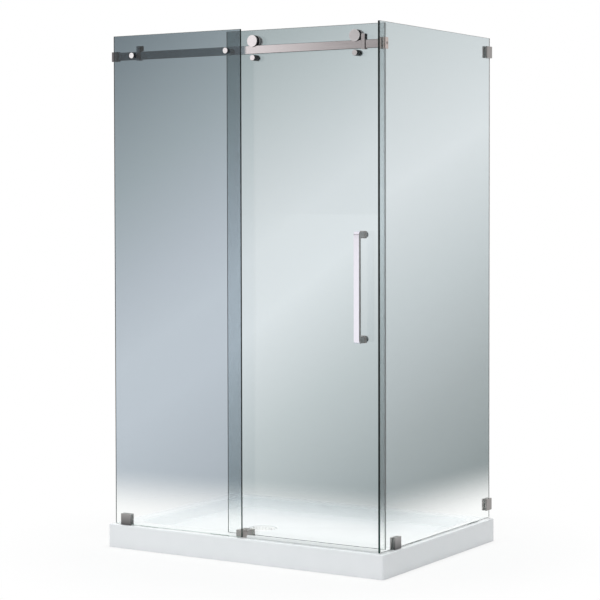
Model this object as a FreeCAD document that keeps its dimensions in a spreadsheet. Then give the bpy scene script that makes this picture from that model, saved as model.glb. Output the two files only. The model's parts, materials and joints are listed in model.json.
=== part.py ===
"""Corner shower enclosure with a sliding glass door, on its own acrylic tray.

All sizes are in millimetres. Stations are measured from the tray: x from its left (wall) end,
y from its front face and z from the floor. The row's origin is under the middle of the tray,
so a placement takes half the tray's length and depth away from its station.
"""
import FreeCAD, Part
import os
import re
import Sketcher

DIMENSIONS = (
    # shower tray
    ("tray_length", 1219.0, "along the front, 48 in"),
    ("tray_depth", 889.0, "front to back, 35 in"),
    ("tray_height", 89.0, "floor to rim, 3.5 in"),
    ("overall_height", 1968.5, "floor to the top of the fixed glass, 77.5 in"),
    ("tray_wall", 6.0, "moulded shell"),
    ("tray_corner", 10.0, "radius of the upright corners"),
    ("tray_arris", 4.0, "radius of the top outer edge"),
    ("rim_front", 104.0, "rim that carries the door guide"),
    ("rim_side", 66.0, "rim at the sides and the back"),
    ("basin_corner", 60.0, "radius of the basin's corners at the rim"),
    ("basin_run", 38.0, "how far the basin's walls lean in"),
    ("basin_edge", 6.0, "soft edge where the rim turns down"),
    ("floor_level", 55.0, "basin floor along its edges"),
    ("drain_level", 44.0, "basin floor at the drain"),
    ("under_level", 34.0, "underside of the basin floor"),
    ("rib", 6.0, "moulded ribs below the floor"),
    ("cells_along", 6.0, "rib cells along the tray"),
    ("cells_across", 4.0, "rib cells across the tray"),
    # drain
    ("drain_x", 425.0, "station of the drain's axis"),
    ("drain_y", 443.0, "station of the drain's axis"),
    ("drain_seat", 56.0, "radius of the recess for the drain flange"),
    ("drain_seat_deep", 4.0, "depth of that recess"),
    ("drain_hole", 42.0, "radius of the hole in the tray"),
    ("drain_flange", 55.0, "radius of the drain flange"),
    ("drain_barrel", 40.0, "outer radius of the threaded barrel"),
    ("drain_bottom", 8.0, "height of the barrel's lower end"),
    ("pipe_bore", 30.6, "radius that takes a 60.3 mm waste pipe"),
    ("pipe_depth", 22.0, "how far the pipe goes in"),
    ("drain_well", 62.0, "radius of the clear well below the floor"),
    ("strainer", 50.0, "radius of the strainer"),
    # glass
    ("glass", 8.0, "tempered glass, 5/16 in"),
    ("glass_arris", 0.8, "ground edge"),
    ("glass_seat", 2.0, "setting block under the glass"),
    ("gasket", 1.0, "clear gasket between metal and glass"),
    ("fixed_left", 20.0, "station of the fixed pane's left edge"),
    ("fixed_right", 605.0, "station of the fixed pane's right edge"),
    ("fixed_front", 21.0, "front face of the fixed pane"),
    ("return_inside", 1190.0, "inner face of the return pane"),
    ("return_front", 14.0, "front edge of the return pane"),
    ("return_back", 887.0, "rear edge of the return pane"),
    ("door_left", 515.0, "left edge of the door"),
    ("door_right", 1183.0, "right edge of the door"),
    ("door_front", 67.0, "front face of the door"),
    ("door_bottom", 94.0, "lower edge of the door"),
    ("door_top", 1966.0, "upper edge of the door"),
    # rail
    ("rail_left", 10.0, "left end of the rail"),
    ("rail_right", 1184.5, "right end of the rail"),
    ("rail_front", 40.0, "front face of the rail"),
    ("rail_thick", 10.0, "flat bar 30 x 10"),
    ("rail_width", 30.0, "flat bar 30 x 10"),
    ("rail_level", 1891.5, "height of the rail's centre line"),
    ("socket_play", 0.3, "play round the rail in its sockets"),
    ("bracket_long", 32.0, "wall bracket, out from the wall"),
    ("bracket_deep", 18.0, "wall bracket, front to back"),
    ("bracket_tall", 37.0, "wall bracket, height"),
    ("bracket_base", 4.0, "wall bracket, screwed base"),
    ("anchor_hole", 2.6, "radius of every hole for an anchor screw"),
    ("anchor_spacing", 18.0, "between the two holes of a base"),
    ("block_deep", 21.0, "return bracket, front to back"),
    ("block_tall", 41.0, "return bracket, height"),
    ("block_thick", 11.0, "return bracket, outside the glass"),
    ("connector_one", 112.0, "station of the left connector"),
    ("connector_two", 544.0, "station of the right connector"),
    ("connector_cap", 11.0, "radius of the connector caps"),
    ("connector_spacer", 7.5, "radius of the spacers, clear of wheel flange and stop"),
    # door stops
    ("stop_wide", 16.0, "stop along the rail"),
    ("stop_tall", 55.0, "stop height"),
    ("stop_low", 1873.0, "lower end of the stops"),
    ("stop_cheek", 4.0, "thickness of the stop's cheeks"),
    ("stop_play", 0.2, "stop to rail, taken up by the grub screw"),
    ("stop_one", 120.0, "left side of the left stop"),
    ("stop_two", 1109.0, "left side of the right stop"),
    ("bumper_long", 11.0, "rubber bumper of the left stop"),
    ("bumper_short", 8.7, "rubber bumper of the right stop"),
    ("bumper_wide", 8.0, "fits between the wheel's flanges"),
    ("bumper_tall", 19.0, "height of the bumpers"),
    # rollers
    ("roller_one", 648.0, "station of the left roller"),
    ("roller_two", 1083.0, "station of the right roller"),
    ("roll_radius", 17.0, "radius on which the wheel rolls"),
    ("running_gap", 0.3, "clearance between parts that pass each other"),
    ("wheel_front", 36.5, "station of the wheel's front face"),
    ("wheel_flange", 21.5, "radius of the wheel's flanges"),
    ("hanger_disc", 22.0, "radius of the wheel cap and the hanger disc"),
    ("axle", 3.95, "radius of the axle pin"),
    ("bearing_bore", 4.0, "radius of the bearing's bore"),
    ("bearing_outer", 11.0, "outer radius of the bearing"),
    ("bearing_wide", 7.0, "width of the bearing"),
    ("lift_drop", 61.0, "anti-lift roller below the wheel's axis"),
    ("lift_radius", 11.0, "radius of the anti-lift roller and its caps"),
    # handle
    ("handle_x", 1103.0, "station of the handle's centre line"),
    ("handle_front", 12.0, "front face of the handle"),
    ("handle_low", 829.0, "lower end of the handle"),
    ("handle_long", 400.0, "length of the handle"),
    ("handle_wide", 22.0, "width of bar and posts"),
    ("handle_deep", 14.0, "depth of the bar"),
    ("handle_bend", 13.0, "radius of the handle's outer corners"),
    ("post_tall", 24.0, "height of the posts"),
    ("collar_deep", 9.0, "collars against the glass"),
    ("stud", 4.0, "radius of the M8 studs"),
    # clips
    ("clip_wide", 45.0, "clip along the wall or floor"),
    ("clip_tall", 43.0, "clip away from the wall or floor"),
    ("clip_plate", 8.5, "thickness of each half of a clip"),
    ("boss_wide", 29.0, "boss that stands in the notch of the glass"),
    ("boss_tall", 22.0, "boss that stands in the notch of the glass"),
    ("notch_play", 2.0, "notch larger than the boss"),
    ("clamp_screw", 3.0, "radius of the M6 clamping screws"),
    ("clamp_long", 17.0, "shank of the clamping screws"),
    ("fixed_clip_x", 74.5, "station of the fixed pane's floor clip"),
    ("return_clip_y", 130.5, "station of the return pane's floor clip"),
    ("clip_low", 145.0, "height of the lower wall clip"),
    ("clip_high", 1913.0, "height of the upper wall clip"),
    # guide and sill
    ("guide_left", 578.0, "left end of the bottom guide"),
    ("guide_long", 46.0, "length of the bottom guide"),
    ("guide_front", 30.0, "front face of the bottom guide"),
    ("guide_deep", 56.0, "front to back"),
    ("guide_tall", 26.0, "height above the rim"),
    ("guide_slot", 14.0, "slot for the door and its two liners"),
    ("sill_front", 20.0, "front of the threshold strip"),
    ("sill_deep", 10.0, "threshold strip, front to back"),
    ("sill_tall", 12.0, "threshold strip, height"),
    ("sill_right", 1187.0, "right end of the threshold strip"),
)

DOC = FreeCAD.newDocument("sliding_door_enclosure")
SHEET = DOC.addObject("Spreadsheet::Sheet", "dims")
SUBPARTS = []
ALIASES = {alias for alias, _, _ in DIMENSIONS}
X_AXIS = FreeCAD.Vector(1, 0, 0)
Y_AXIS = FreeCAD.Vector(0, 1, 0)
Z_AXIS = FreeCAD.Vector(0, 0, 1)
UPRIGHT = FreeCAD.Rotation()
FACING_OUT = FreeCAD.Rotation(Z_AXIS, 90)
ON_BACK_WALL = FreeCAD.Rotation(Z_AXIS, -X_AXIS, -Y_AXIS, "ZXY")


def fill_sheet():
    for row, (alias, value, note) in enumerate(DIMENSIONS, start=1):
        SHEET.set(f"A{row}", alias)
        SHEET.set(f"B{row}", str(value))
        SHEET.setAlias(f"B{row}", alias)
        SHEET.set(f"C{row}", note)
    DOC.recompute()


def bound(words):
    """The expression with each alias written as a cell of the sheet."""
    def cell(match):
        word = match.group(0)
        return "dims." + word if word in ALIASES else word
    return re.sub(r"[a-z_]+", cell, str(words))


def number(words):
    return float(SHEET.evalExpression(bound(words)))


def place(item, x_station, y_station, z_station, turn=UPRIGHT):
    """Put an object at a station, with its placement bound to the sheet."""
    item.Placement = FreeCAD.Placement(FreeCAD.Vector(), turn)
    item.setExpression("Placement.Base.x", bound(f"({x_station}) - tray_length / 2"))
    item.setExpression("Placement.Base.y", bound(f"({y_station}) - tray_depth / 2"))
    item.setExpression("Placement.Base.z", bound(z_station))


def new_body(label, listed=True):
    body = DOC.addObject("PartDesign::Body", label)
    body.Label = label
    if listed:
        SUBPARTS.append(body)
    return body


def new_sketch(body, role, name, offset="0"):
    sketch = body.newObject("Sketcher::SketchObject", name)
    planes = [item for item in body.Origin.OriginFeatures if item.Role == role]
    sketch.AttachmentSupport = [(planes[0], "")]
    sketch.MapMode = "FlatFace"
    if offset != "0":
        sketch.setExpression("AttachmentOffset.Base.z", bound(offset))
    return sketch


def pin_point(sketch, line, end, across, up):
    """Hold one end of a line at a place given by two expressions."""
    for kind, words in (("DistanceX", across), ("DistanceY", up)):
        value = number(words)
        index = sketch.addConstraint(Sketcher.Constraint(kind, -1, 1, line, end, value))
        if re.search(r"[a-z]", str(words)):
            sketch.setExpression(f"Constraints[{index}]", bound(words))


def draw_outline(sketch, corners):
    """A closed outline of straight sides through the corners."""
    spots = [FreeCAD.Vector(number(x), number(y), 0) for x, y in corners]
    count = len(spots)
    first = sketch.GeometryCount
    for k in range(count):
        sketch.addGeometry(Part.LineSegment(spots[k], spots[(k + 1) % count]))
    for k in range(count):
        following = first + (k + 1) % count
        sketch.addConstraint(Sketcher.Constraint("Coincident", first + k, 2, following, 1))
    for k, (across, up) in enumerate(corners):
        pin_point(sketch, first + k, 1, across, up)


def draw_box(sketch, left, low, right, high):
    draw_outline(sketch, ((left, low), (right, low), (right, high), (left, high)))


def draw_rounded_box(sketch, left, low, right, high, radius):
    """A rectangle with four equal round corners."""
    x0, y0, x1, y1, r = (number(words) for words in (left, low, right, high, radius))
    first = sketch.GeometryCount
    sides = (
        ((x0 + r, y0), (x1 - r, y0)),
        ((x1, y0 + r), (x1, y1 - r)),
        ((x1 - r, y1), (x0 + r, y1)),
        ((x0, y1 - r), (x0, y0 + r)),
    )
    for start, end in sides:
        sketch.addGeometry(Part.LineSegment(FreeCAD.Vector(*start, 0), FreeCAD.Vector(*end, 0)))
    centres = ((x1 - r, y0 + r), (x1 - r, y1 - r), (x0 + r, y1 - r), (x0 + r, y0 + r))
    quarter = 1.5707963267948966
    for k, centre in enumerate(centres):
        circle = Part.Circle(FreeCAD.Vector(*centre, 0), Z_AXIS, r)
        start_angle = (k - 1) * quarter
        sketch.addGeometry(Part.ArcOfCircle(circle, start_angle, start_angle + quarter))
    for k in range(4):
        arc = first + 4 + k
        sketch.addConstraint(Sketcher.Constraint("Tangent", first + k, 2, arc, 1))
        sketch.addConstraint(Sketcher.Constraint("Tangent", arc, 2, first + (k + 1) % 4, 1))
        if k:
            sketch.addConstraint(Sketcher.Constraint("Equal", first + 4, arc))
    sketch.addConstraint(Sketcher.Constraint("Horizontal", first))
    sketch.addConstraint(Sketcher.Constraint("Vertical", first + 1))
    limits = (
        ("DistanceY", first, low), ("DistanceX", first + 1, right),
        ("DistanceY", first + 2, high), ("DistanceX", first + 3, left),
    )
    for kind, line, words in limits:
        index = sketch.addConstraint(Sketcher.Constraint(kind, -1, 1, line, 1, number(words)))
        sketch.setExpression(f"Constraints[{index}]", bound(words))
    index = sketch.addConstraint(Sketcher.Constraint("Radius", first + 4, r))
    sketch.setExpression(f"Constraints[{index}]", bound(radius))


def draw_circle(sketch, across, up, radius):
    centre = FreeCAD.Vector(number(across), number(up), 0)
    circle = sketch.addGeometry(Part.Circle(centre, Z_AXIS, number(radius)))
    pin_point(sketch, circle, 3, across, up)
    index = sketch.addConstraint(Sketcher.Constraint("Radius", circle, number(radius)))
    sketch.setExpression(f"Constraints[{index}]", bound(radius))


def extrude(body, sketch, name, length, toward_minus=False):
    """Pad a sketch along its plane's normal, or against it."""
    pad = body.newObject("PartDesign::Pad", name)
    pad.Profile = sketch
    pad.setExpression("Length", bound(length))
    pad.Reversed = toward_minus
    DOC.recompute()
    return pad


def cut(body, sketch, name, length, along_normal=True):
    """Pocket a sketch; a pocket runs against its plane's normal unless it is reversed."""
    pocket = body.newObject("PartDesign::Pocket", name)
    pocket.Profile = sketch
    pocket.setExpression("Length", bound(length))
    pocket.Reversed = along_normal
    DOC.recompute()
    return pocket


def turn_profile(body, name, corners, role="XY_Plane"):
    """A solid of revolution: corners are (radius, height along the axis)."""
    sketch = new_sketch(body, role, name + "_profile")
    draw_outline(sketch, corners)
    turned = body.newObject("PartDesign::Revolution", name)
    turned.Profile = sketch
    turned.ReferenceAxis = (sketch, ["V_Axis"])
    turned.Angle = 360.0
    DOC.recompute()
    return turned


def edges_where(feature, test):
    found = []
    for index, edge in enumerate(feature.Shape.Edges, start=1):
        if test(edge):
            found.append(f"Edge{index}")
    return found


def soften(body, base, name, test, size, kind="Fillet"):
    """Fillet or chamfer the edges of a feature that pass a test."""
    feature = body.newObject("PartDesign::" + kind, name)
    feature.Base = (base, edges_where(base, test))
    feature.setExpression("Radius" if kind == "Fillet" else "Size", bound(size))
    DOC.recompute()
    return feature


def runs_along(edge, axis):
    if edge.Curve.TypeId != "Part::GeomLine":
        return False
    return abs(edge.Curve.Direction.dot(axis)) > 0.999


def repeat(label, source, stations, turns=None):
    """One node that holds a copy of the source at every station."""
    copies = []
    for k, station in enumerate(stations):
        link = DOC.addObject("App::Link", f"{label}_copy_{k + 1}")
        link.LinkedObject = source
        place(link, *station, turn=turns[k] if turns else UPRIGHT)
        copies.append(link)
    group = DOC.addObject("Part::Compound", label)
    group.Label = label
    group.Links = copies
    SUBPARTS.append(group)
    DOC.recompute()
    return group


# ---------------------------------------------------------------- tray and drain


def basin_section(body, name, level, inset, radius):
    sketch = new_sketch(body, "XY_Plane", name, level)
    left = f"-tray_length / 2 + rim_side + {inset}"
    right = f"tray_length / 2 - rim_side - {inset}"
    front = f"-tray_depth / 2 + rim_front + {inset}"
    back = f"tray_depth / 2 - rim_side - {inset}"
    draw_rounded_box(sketch, left, front, right, back, radius)
    return sketch


def loft_cut(body, name, first, second):
    loft = body.newObject("PartDesign::SubtractiveLoft", name)
    loft.Profile = first
    loft.Sections = [second]
    loft.Ruled = True
    DOC.recompute()
    return loft


def row_of_cells(body, name, corner, size, count, pitch, depth, direction):
    """A line of equal rectangular pockets from below, made as one pattern."""
    sketch = new_sketch(body, "XY_Plane", name + "_cell")
    for left, front in corner:
        draw_box(sketch, left, front, f"{left} + {size[0]}", f"{front} + {size[1]}")
    cell = cut(body, sketch, name + "_pocket", depth)
    pattern = body.newObject("PartDesign::LinearPattern", name)
    pattern.Originals = [cell]
    axes = [item for item in body.Origin.OriginFeatures if item.Role == direction]
    pattern.Direction = (axes[0], [""])
    pattern.setExpression("Length", bound(f"({pitch}) * ({count} - 1)"))
    pattern.Occurrences = int(number(count))
    body.Tip = pattern
    DOC.recompute()
    return pattern


def make_tray():
    """Acrylic shell with a leaning basin, a floor that falls to the drain and ribs below."""
    body = new_body("shower_tray")
    outline = new_sketch(body, "XY_Plane", "tray_outline")
    draw_rounded_box(
        outline, "-tray_length / 2", "-tray_depth / 2", "tray_length / 2", "tray_depth / 2",
        "tray_corner",
    )
    slab = extrude(body, outline, "tray_slab", "tray_height")
    rim = number("tray_height")
    soften(
        body, slab, "tray_top_arris",
        lambda edge: all(abs(v.Point.z - rim) < 0.01 for v in edge.Vertexes), "tray_arris",
    )
    rim_line = basin_section(body, "basin_rim", "tray_height", "0", "basin_corner")
    foot_line = basin_section(
        body, "basin_foot", "floor_level", "basin_run", "basin_corner - basin_run / 2")
    basin = loft_cut(body, "basin", rim_line, foot_line)

    def on_basin_rim(edge):
        inner = all(
            abs(v.Point.z - rim) < 0.01
            and abs(v.Point.x) < number("tray_length / 2 - rim_side / 2")
            and abs(v.Point.y) < number("tray_depth / 2 - rim_side / 2")
            for v in edge.Vertexes
        )
        return inner
    soften(body, basin, "basin_soft_edge", on_basin_rim, "basin_edge")

    floor_line = basin_section(
        body, "floor_edge", "floor_level", "basin_run", "basin_corner - basin_run / 2")
    drain_line = new_sketch(body, "XY_Plane", "floor_drain", "drain_level")
    middle_x = "drain_x - tray_length / 2"
    middle_y = "drain_y - tray_depth / 2"
    reach = "drain_seat + 8"
    draw_rounded_box(
        drain_line, f"{middle_x} - ({reach})", f"{middle_y} - ({reach})",
        f"{middle_x} + ({reach})", f"{middle_y} + ({reach})", "drain_seat - 8",
    )
    loft_cut(body, "floor_fall", floor_line, drain_line)

    pitch_x = "(tray_length - 2 * rim_side + rib) / cells_along"
    pitch_y = "(tray_depth - rim_front - rim_side + rib) / cells_across"
    cell_left = "-tray_length / 2 + rim_side"
    cell_front = "-tray_depth / 2 + rim_front"
    floor_corners = [
        (cell_left, f"{cell_front} + {k} * ({pitch_y})") for k in range(int(number("cells_across")))
    ]
    row_of_cells(
        body, "floor_cells", floor_corners, (f"{pitch_x} - rib", f"{pitch_y} - rib"),
        "cells_along", pitch_x, "under_level", "X_Axis",
    )
    rim_corners = [
        (cell_left, "-tray_depth / 2 + tray_wall"),
        (cell_left, "tray_depth / 2 - rim_side + rib"),
    ]
    for name, corner, deep in (
        ("front_rim_cells", rim_corners[0], "rim_front - tray_wall - 2 * rib"),
        ("back_rim_cells", rim_corners[1], "rim_side - tray_wall - rib"),
    ):
        row_of_cells(
            body, name, [corner], (f"{pitch_x} - rib", deep), "cells_along", pitch_x,
            "tray_height - tray_wall", "X_Axis",
        )
    side_corners = [
        ("-tray_length / 2 + tray_wall", cell_front),
        ("tray_length / 2 - rim_side + rib", cell_front),
    ]
    row_of_cells(
        body, "side_rim_cells", side_corners,
        ("rim_side - tray_wall - rib", f"{pitch_y} - rib"), "cells_across", pitch_y,
        "tray_height - tray_wall", "Y_Axis",
    )

    well_wall = new_sketch(body, "XY_Plane", "drain_well_wall")
    draw_circle(well_wall, middle_x, middle_y, "drain_well + rib")
    extrude(body, well_wall, "drain_well_ring", "under_level")
    well = new_sketch(body, "XY_Plane", "drain_well_space")
    draw_circle(well, middle_x, middle_y, "drain_well")
    cut(body, well, "drain_well_pocket", "under_level")
    hole = new_sketch(body, "XY_Plane", "drain_hole_circle")
    draw_circle(hole, middle_x, middle_y, "drain_hole")
    cut(body, hole, "drain_hole_pocket", "tray_height")
    pilots = new_sketch(body, "XY_Plane", "pilot_circles", "tray_height - 2 * tray_wall")
    spots = [(x, y) for x, y, _ in floor_screw_stations()]
    spots.append(("guide_left + 14", "guide_front + 17"))
    spots.append(("guide_left + guide_long - 14", "guide_front + 17"))
    for x_station, y_station in spots:
        draw_circle(
            pilots, f"{x_station} - tray_length / 2", f"{y_station} - tray_depth / 2",
            "anchor_hole",
        )
    cut(body, pilots, "pilot_holes", "2 * tray_wall + 1")
    seat = new_sketch(body, "XY_Plane", "drain_seat_circle", "drain_level - drain_seat_deep")
    draw_circle(seat, middle_x, middle_y, "drain_seat")
    cut(body, seat, "drain_seat_pocket", "drain_seat_deep * 2")


def make_drain():
    """Two-part drain: flanged body, gasket and nut from below, strainer with two screws."""
    body = new_body("drain_body")
    seat = "drain_level - drain_seat_deep"
    ledge = "drain_bottom + pipe_depth"
    turn_profile(body, "drain_turning", (
        ("pipe_bore", "drain_bottom"), ("drain_barrel", "drain_bottom"),
        ("drain_barrel", seat), ("drain_flange", seat),
        ("drain_flange", f"{seat} + 2"), ("drain_flange - 1.5", f"{seat} + 3.5"),
        ("strainer + 0.5", f"{seat} + 3.5"), ("strainer + 0.5", f"{seat} + 1.2"),
        ("drain_barrel - 3", f"{seat} + 1.2"), ("drain_barrel - 3", f"{ledge} + 5"),
        ("pipe_bore", ledge),
    ), "XZ_Plane")
    place(body, "drain_x", "drain_y", "0")

    gasket = new_body("drain_gasket")
    turn_profile(gasket, "gasket_turning", (
        ("drain_barrel + 0.3", "0"), ("drain_flange", "0"),
        ("drain_flange", "3"), ("drain_barrel + 0.3", "3"),
    ), "XZ_Plane")
    place(gasket, "drain_x", "drain_y", "under_level - 3")

    nut = new_body("drain_nut")
    turn_profile(nut, "nut_turning", (
        ("drain_barrel + 0.15", "0"), ("drain_flange - 4", "0"), ("drain_flange - 4", "6"),
        ("drain_flange + 1", "6"), ("drain_flange + 1", "9"), ("drain_barrel + 0.15", "9"),
    ), "XZ_Plane")
    notch = new_sketch(nut, "XY_Plane", "nut_notch")
    draw_box(notch, "drain_flange - 7", "-6", "drain_flange + 3", "6")
    pocket = cut(nut, notch, "nut_notch_pocket", "12")
    ring = nut.newObject("PartDesign::PolarPattern", "nut_notches")
    ring.Originals = [pocket]
    axes = [item for item in nut.Origin.OriginFeatures if item.Role == "Z_Axis"]
    ring.Axis = (axes[0], [""])
    ring.Angle = 360.0
    ring.Occurrences = 8
    nut.Tip = ring
    DOC.recompute()
    place(nut, "drain_x", "drain_y", "under_level - 12.1")

    cover = new_body("drain_cover")
    turn_profile(cover, "cover_turning", (
        ("0", "0"), ("strainer", "0"), ("strainer", "1.3"), ("strainer - 0.8", "2"), ("0", "2"),
    ), "XZ_Plane")
    for name, radius, hole, count in (("inner_holes", 13, 3.2, 6), ("outer_holes", 28, 3.2, 12)):
        circle = new_sketch(cover, "XY_Plane", name + "_circle")
        draw_circle(circle, str(radius), "0", str(hole))
        pocket = cut(cover, circle, name + "_pocket", "3")
        ring = cover.newObject("PartDesign::PolarPattern", name)
        ring.Originals = [pocket]
        axes = [item for item in cover.Origin.OriginFeatures if item.Role == "Z_Axis"]
        ring.Axis = (axes[0], [""])
        ring.Angle = 360.0
        ring.Occurrences = count
        cover.Tip = ring
        DOC.recompute()
    screws = new_sketch(cover, "XY_Plane", "cover_screw_circles")
    draw_circle(screws, "42", "0", "2.1")
    draw_circle(screws, "-42", "0", "2.1")
    cut(cover, screws, "cover_screw_holes", "3")
    place(cover, "drain_x", "drain_y", f"{seat} + 1.3")

    screw = new_body("drain_screw_blank", listed=False)
    turn_profile(screw, "drain_screw_turning", (
        ("0", "0"), ("2", "0"), ("3.6", "1.2"), ("3.2", "1.7"), ("0", "1.7"),
    ), "XZ_Plane")
    top = f"{seat} + 3.3"
    repeat("drain_screws", screw, (
        ("drain_x - 42", "drain_y", top), ("drain_x + 42", "drain_y", top)))


# ---------------------------------------------------------------- glass


def pane(label, role, width, height, holes=(), notches=()):
    """A tempered pane with ground edges; its back face lies in the sketch plane."""
    body = new_body(label)
    outline = new_sketch(body, role, label + "_outline")
    draw_box(outline, "0", "0", width, height)
    blank = extrude(body, outline, label + "_blank", "glass", role == "XZ_Plane")
    inset = 0.01
    thick = number("glass")
    across = Y_AXIS if role == "XZ_Plane" else X_AXIS

    def on_a_face(edge):
        places = [v.Point.dot(across) for v in edge.Vertexes]
        return all(p < inset for p in places) or all(p > thick - inset for p in places)
    soften(body, blank, label + "_arris", on_a_face, "glass_arris", "Chamfer")
    if holes:
        circles = new_sketch(body, role, label + "_holes")
        for x_place, z_place, radius in holes:
            draw_circle(circles, x_place, z_place, radius)
        cut(body, circles, label + "_drilling", "glass", role != "XZ_Plane")
    for k, (left, low, right, high) in enumerate(notches):
        slot = new_sketch(body, role, f"{label}_notch_{k}")
        draw_rounded_box(slot, left, low, right, high, "notch_play + 4")
        cut(body, slot, f"{label}_notch_cut_{k}", "glass", role != "XZ_Plane")
    return body


def make_panes():
    glass_foot = "tray_height + glass_seat"
    half_notch = "boss_wide / 2 + notch_play"
    notch_top = "boss_tall + notch_play - glass_seat"
    rail_hole = f"rail_level - ({glass_foot})"

    fixed = pane(
        "fixed_panel", "XZ_Plane", "fixed_right - fixed_left",
        f"overall_height - ({glass_foot})",
        holes=(
            ("connector_one - fixed_left", rail_hole, "7"),
            ("connector_two - fixed_left", rail_hole, "7"),
        ),
        notches=(
            (f"fixed_clip_x - fixed_left - ({half_notch})", "-20",
             f"fixed_clip_x - fixed_left + ({half_notch})", notch_top),
        ),
    )
    place(fixed, "fixed_left", "fixed_front", glass_foot)

    wall_notch = "tray_depth - return_front - boss_tall - notch_play"
    back = "return_back - return_front + 20"
    low_clip = f"clip_low - ({glass_foot})"
    high_clip = f"clip_high - ({glass_foot})"
    floor_clip = "return_clip_y - return_front"
    returned = pane(
        "return_panel", "YZ_Plane", "return_back - return_front",
        f"overall_height - ({glass_foot})",
        holes=(("rail_front + rail_thick / 2 - return_front", rail_hole, "4.5"),),
        notches=(
            (f"{floor_clip} - ({half_notch})", "-20", f"{floor_clip} + ({half_notch})", notch_top),
            (wall_notch, f"{low_clip} - ({half_notch})", back, f"{low_clip} + ({half_notch})"),
            (wall_notch, f"{high_clip} - ({half_notch})", back, f"{high_clip} + ({half_notch})"),
        ),
    )
    place(returned, "return_inside", "return_front", glass_foot)

    hanger = "rail_level + rail_width / 2 + roll_radius - door_bottom"
    lift = f"{hanger} - lift_drop"
    post = "handle_low + post_tall / 2 + 1 - door_bottom"
    holes = []
    for roller in ("roller_one", "roller_two"):
        holes.append((f"{roller} - door_left", hanger, "8"))
        holes.append((f"{roller} - door_left", lift, "6"))
    holes.append(("handle_x - door_left", post, "6"))
    holes.append(("handle_x - door_left", f"{post} + handle_long - post_tall - 2", "6"))
    door = pane(
        "door_panel", "XZ_Plane", "door_right - door_left", "door_top - door_bottom", holes)
    place(door, "door_left", "door_front", "door_bottom")

    block = DOC.addObject("Part::Box", "setting_block_blank")
    block.setExpression("Length", bound("80"))
    block.setExpression("Width", bound("glass"))
    block.setExpression("Height", bound("glass_seat"))
    repeat("setting_blocks", block, (
        ("fixed_left + 120", "fixed_front", "tray_height"),
        ("fixed_right - 140", "fixed_front", "tray_height"),
        ("return_inside + glass", "return_front + 230", "tray_height"),
        ("return_inside + glass", "return_back - 180", "tray_height"),
    ), (UPRIGHT, UPRIGHT, FACING_OUT, FACING_OUT))


# ---------------------------------------------------------------- rail and brackets


def make_rail():
    """Flat bar with eased edges, drilled for the connectors and tapped in its right end."""
    body = new_body("rail")
    face = new_sketch(body, "XZ_Plane", "rail_face")
    draw_box(face, "0", "-rail_width / 2", "rail_right - rail_left", "rail_width / 2")
    bar = extrude(body, face, "rail_bar", "rail_thick", True)
    soften(body, bar, "rail_eased", lambda edge: runs_along(edge, X_AXIS), "0.8", "Chamfer")
    drilled = new_sketch(body, "XZ_Plane", "rail_holes")
    draw_circle(drilled, "connector_one - rail_left", "0", "stud + 0.15")
    draw_circle(drilled, "connector_two - rail_left", "0", "stud + 0.15")
    cut(body, drilled, "rail_drilling", "rail_thick", False)
    tapped = new_sketch(body, "YZ_Plane", "rail_end_hole", "rail_right - rail_left")
    draw_circle(tapped, "rail_thick / 2", "0", "clamp_screw + 0.1")
    cut(body, tapped, "rail_end_tapping", "20", False)
    place(body, "rail_left", "rail_front", "rail_level")


def make_wall_bracket():
    """Socket that takes the rail's left end, with two anchor holes in its base."""
    body = new_body("rail_wall_bracket")
    side = new_sketch(body, "YZ_Plane", "bracket_side")
    draw_box(side, "-bracket_deep / 2", "-bracket_tall / 2", "bracket_deep / 2", "bracket_tall / 2")
    block = extrude(body, side, "bracket_block", "bracket_long")
    soften(
        body, block, "bracket_eased",
        lambda edge: runs_along(edge, X_AXIS) or edge.CenterOfMass.x > number("bracket_long") - 0.1,
        "1.2", "Chamfer",
    )
    mouth = new_sketch(body, "YZ_Plane", "bracket_mouth", "bracket_long")
    half_deep = "rail_thick / 2 + socket_play"
    half_tall = "rail_width / 2 + socket_play"
    draw_box(mouth, f"-({half_deep})", f"-({half_tall})", half_deep, half_tall)
    cut(body, mouth, "bracket_socket", "bracket_long - bracket_base", False)
    holes = new_sketch(body, "YZ_Plane", "bracket_anchor_circles", "bracket_long")
    draw_circle(holes, "0", "anchor_spacing / 2", "anchor_hole")
    draw_circle(holes, "0", "-anchor_spacing / 2", "anchor_hole")
    cut(body, holes, "bracket_anchors", "bracket_long", False)
    tapped = new_sketch(body, "XY_Plane", "bracket_grub_circle", "-bracket_tall / 2")
    draw_circle(tapped, "bracket_long - 10", "0", "2.6")
    cut(body, tapped, "bracket_grub_hole", "bracket_tall / 2")
    place(body, "0", "rail_front + rail_thick / 2", "rail_level")


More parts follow.
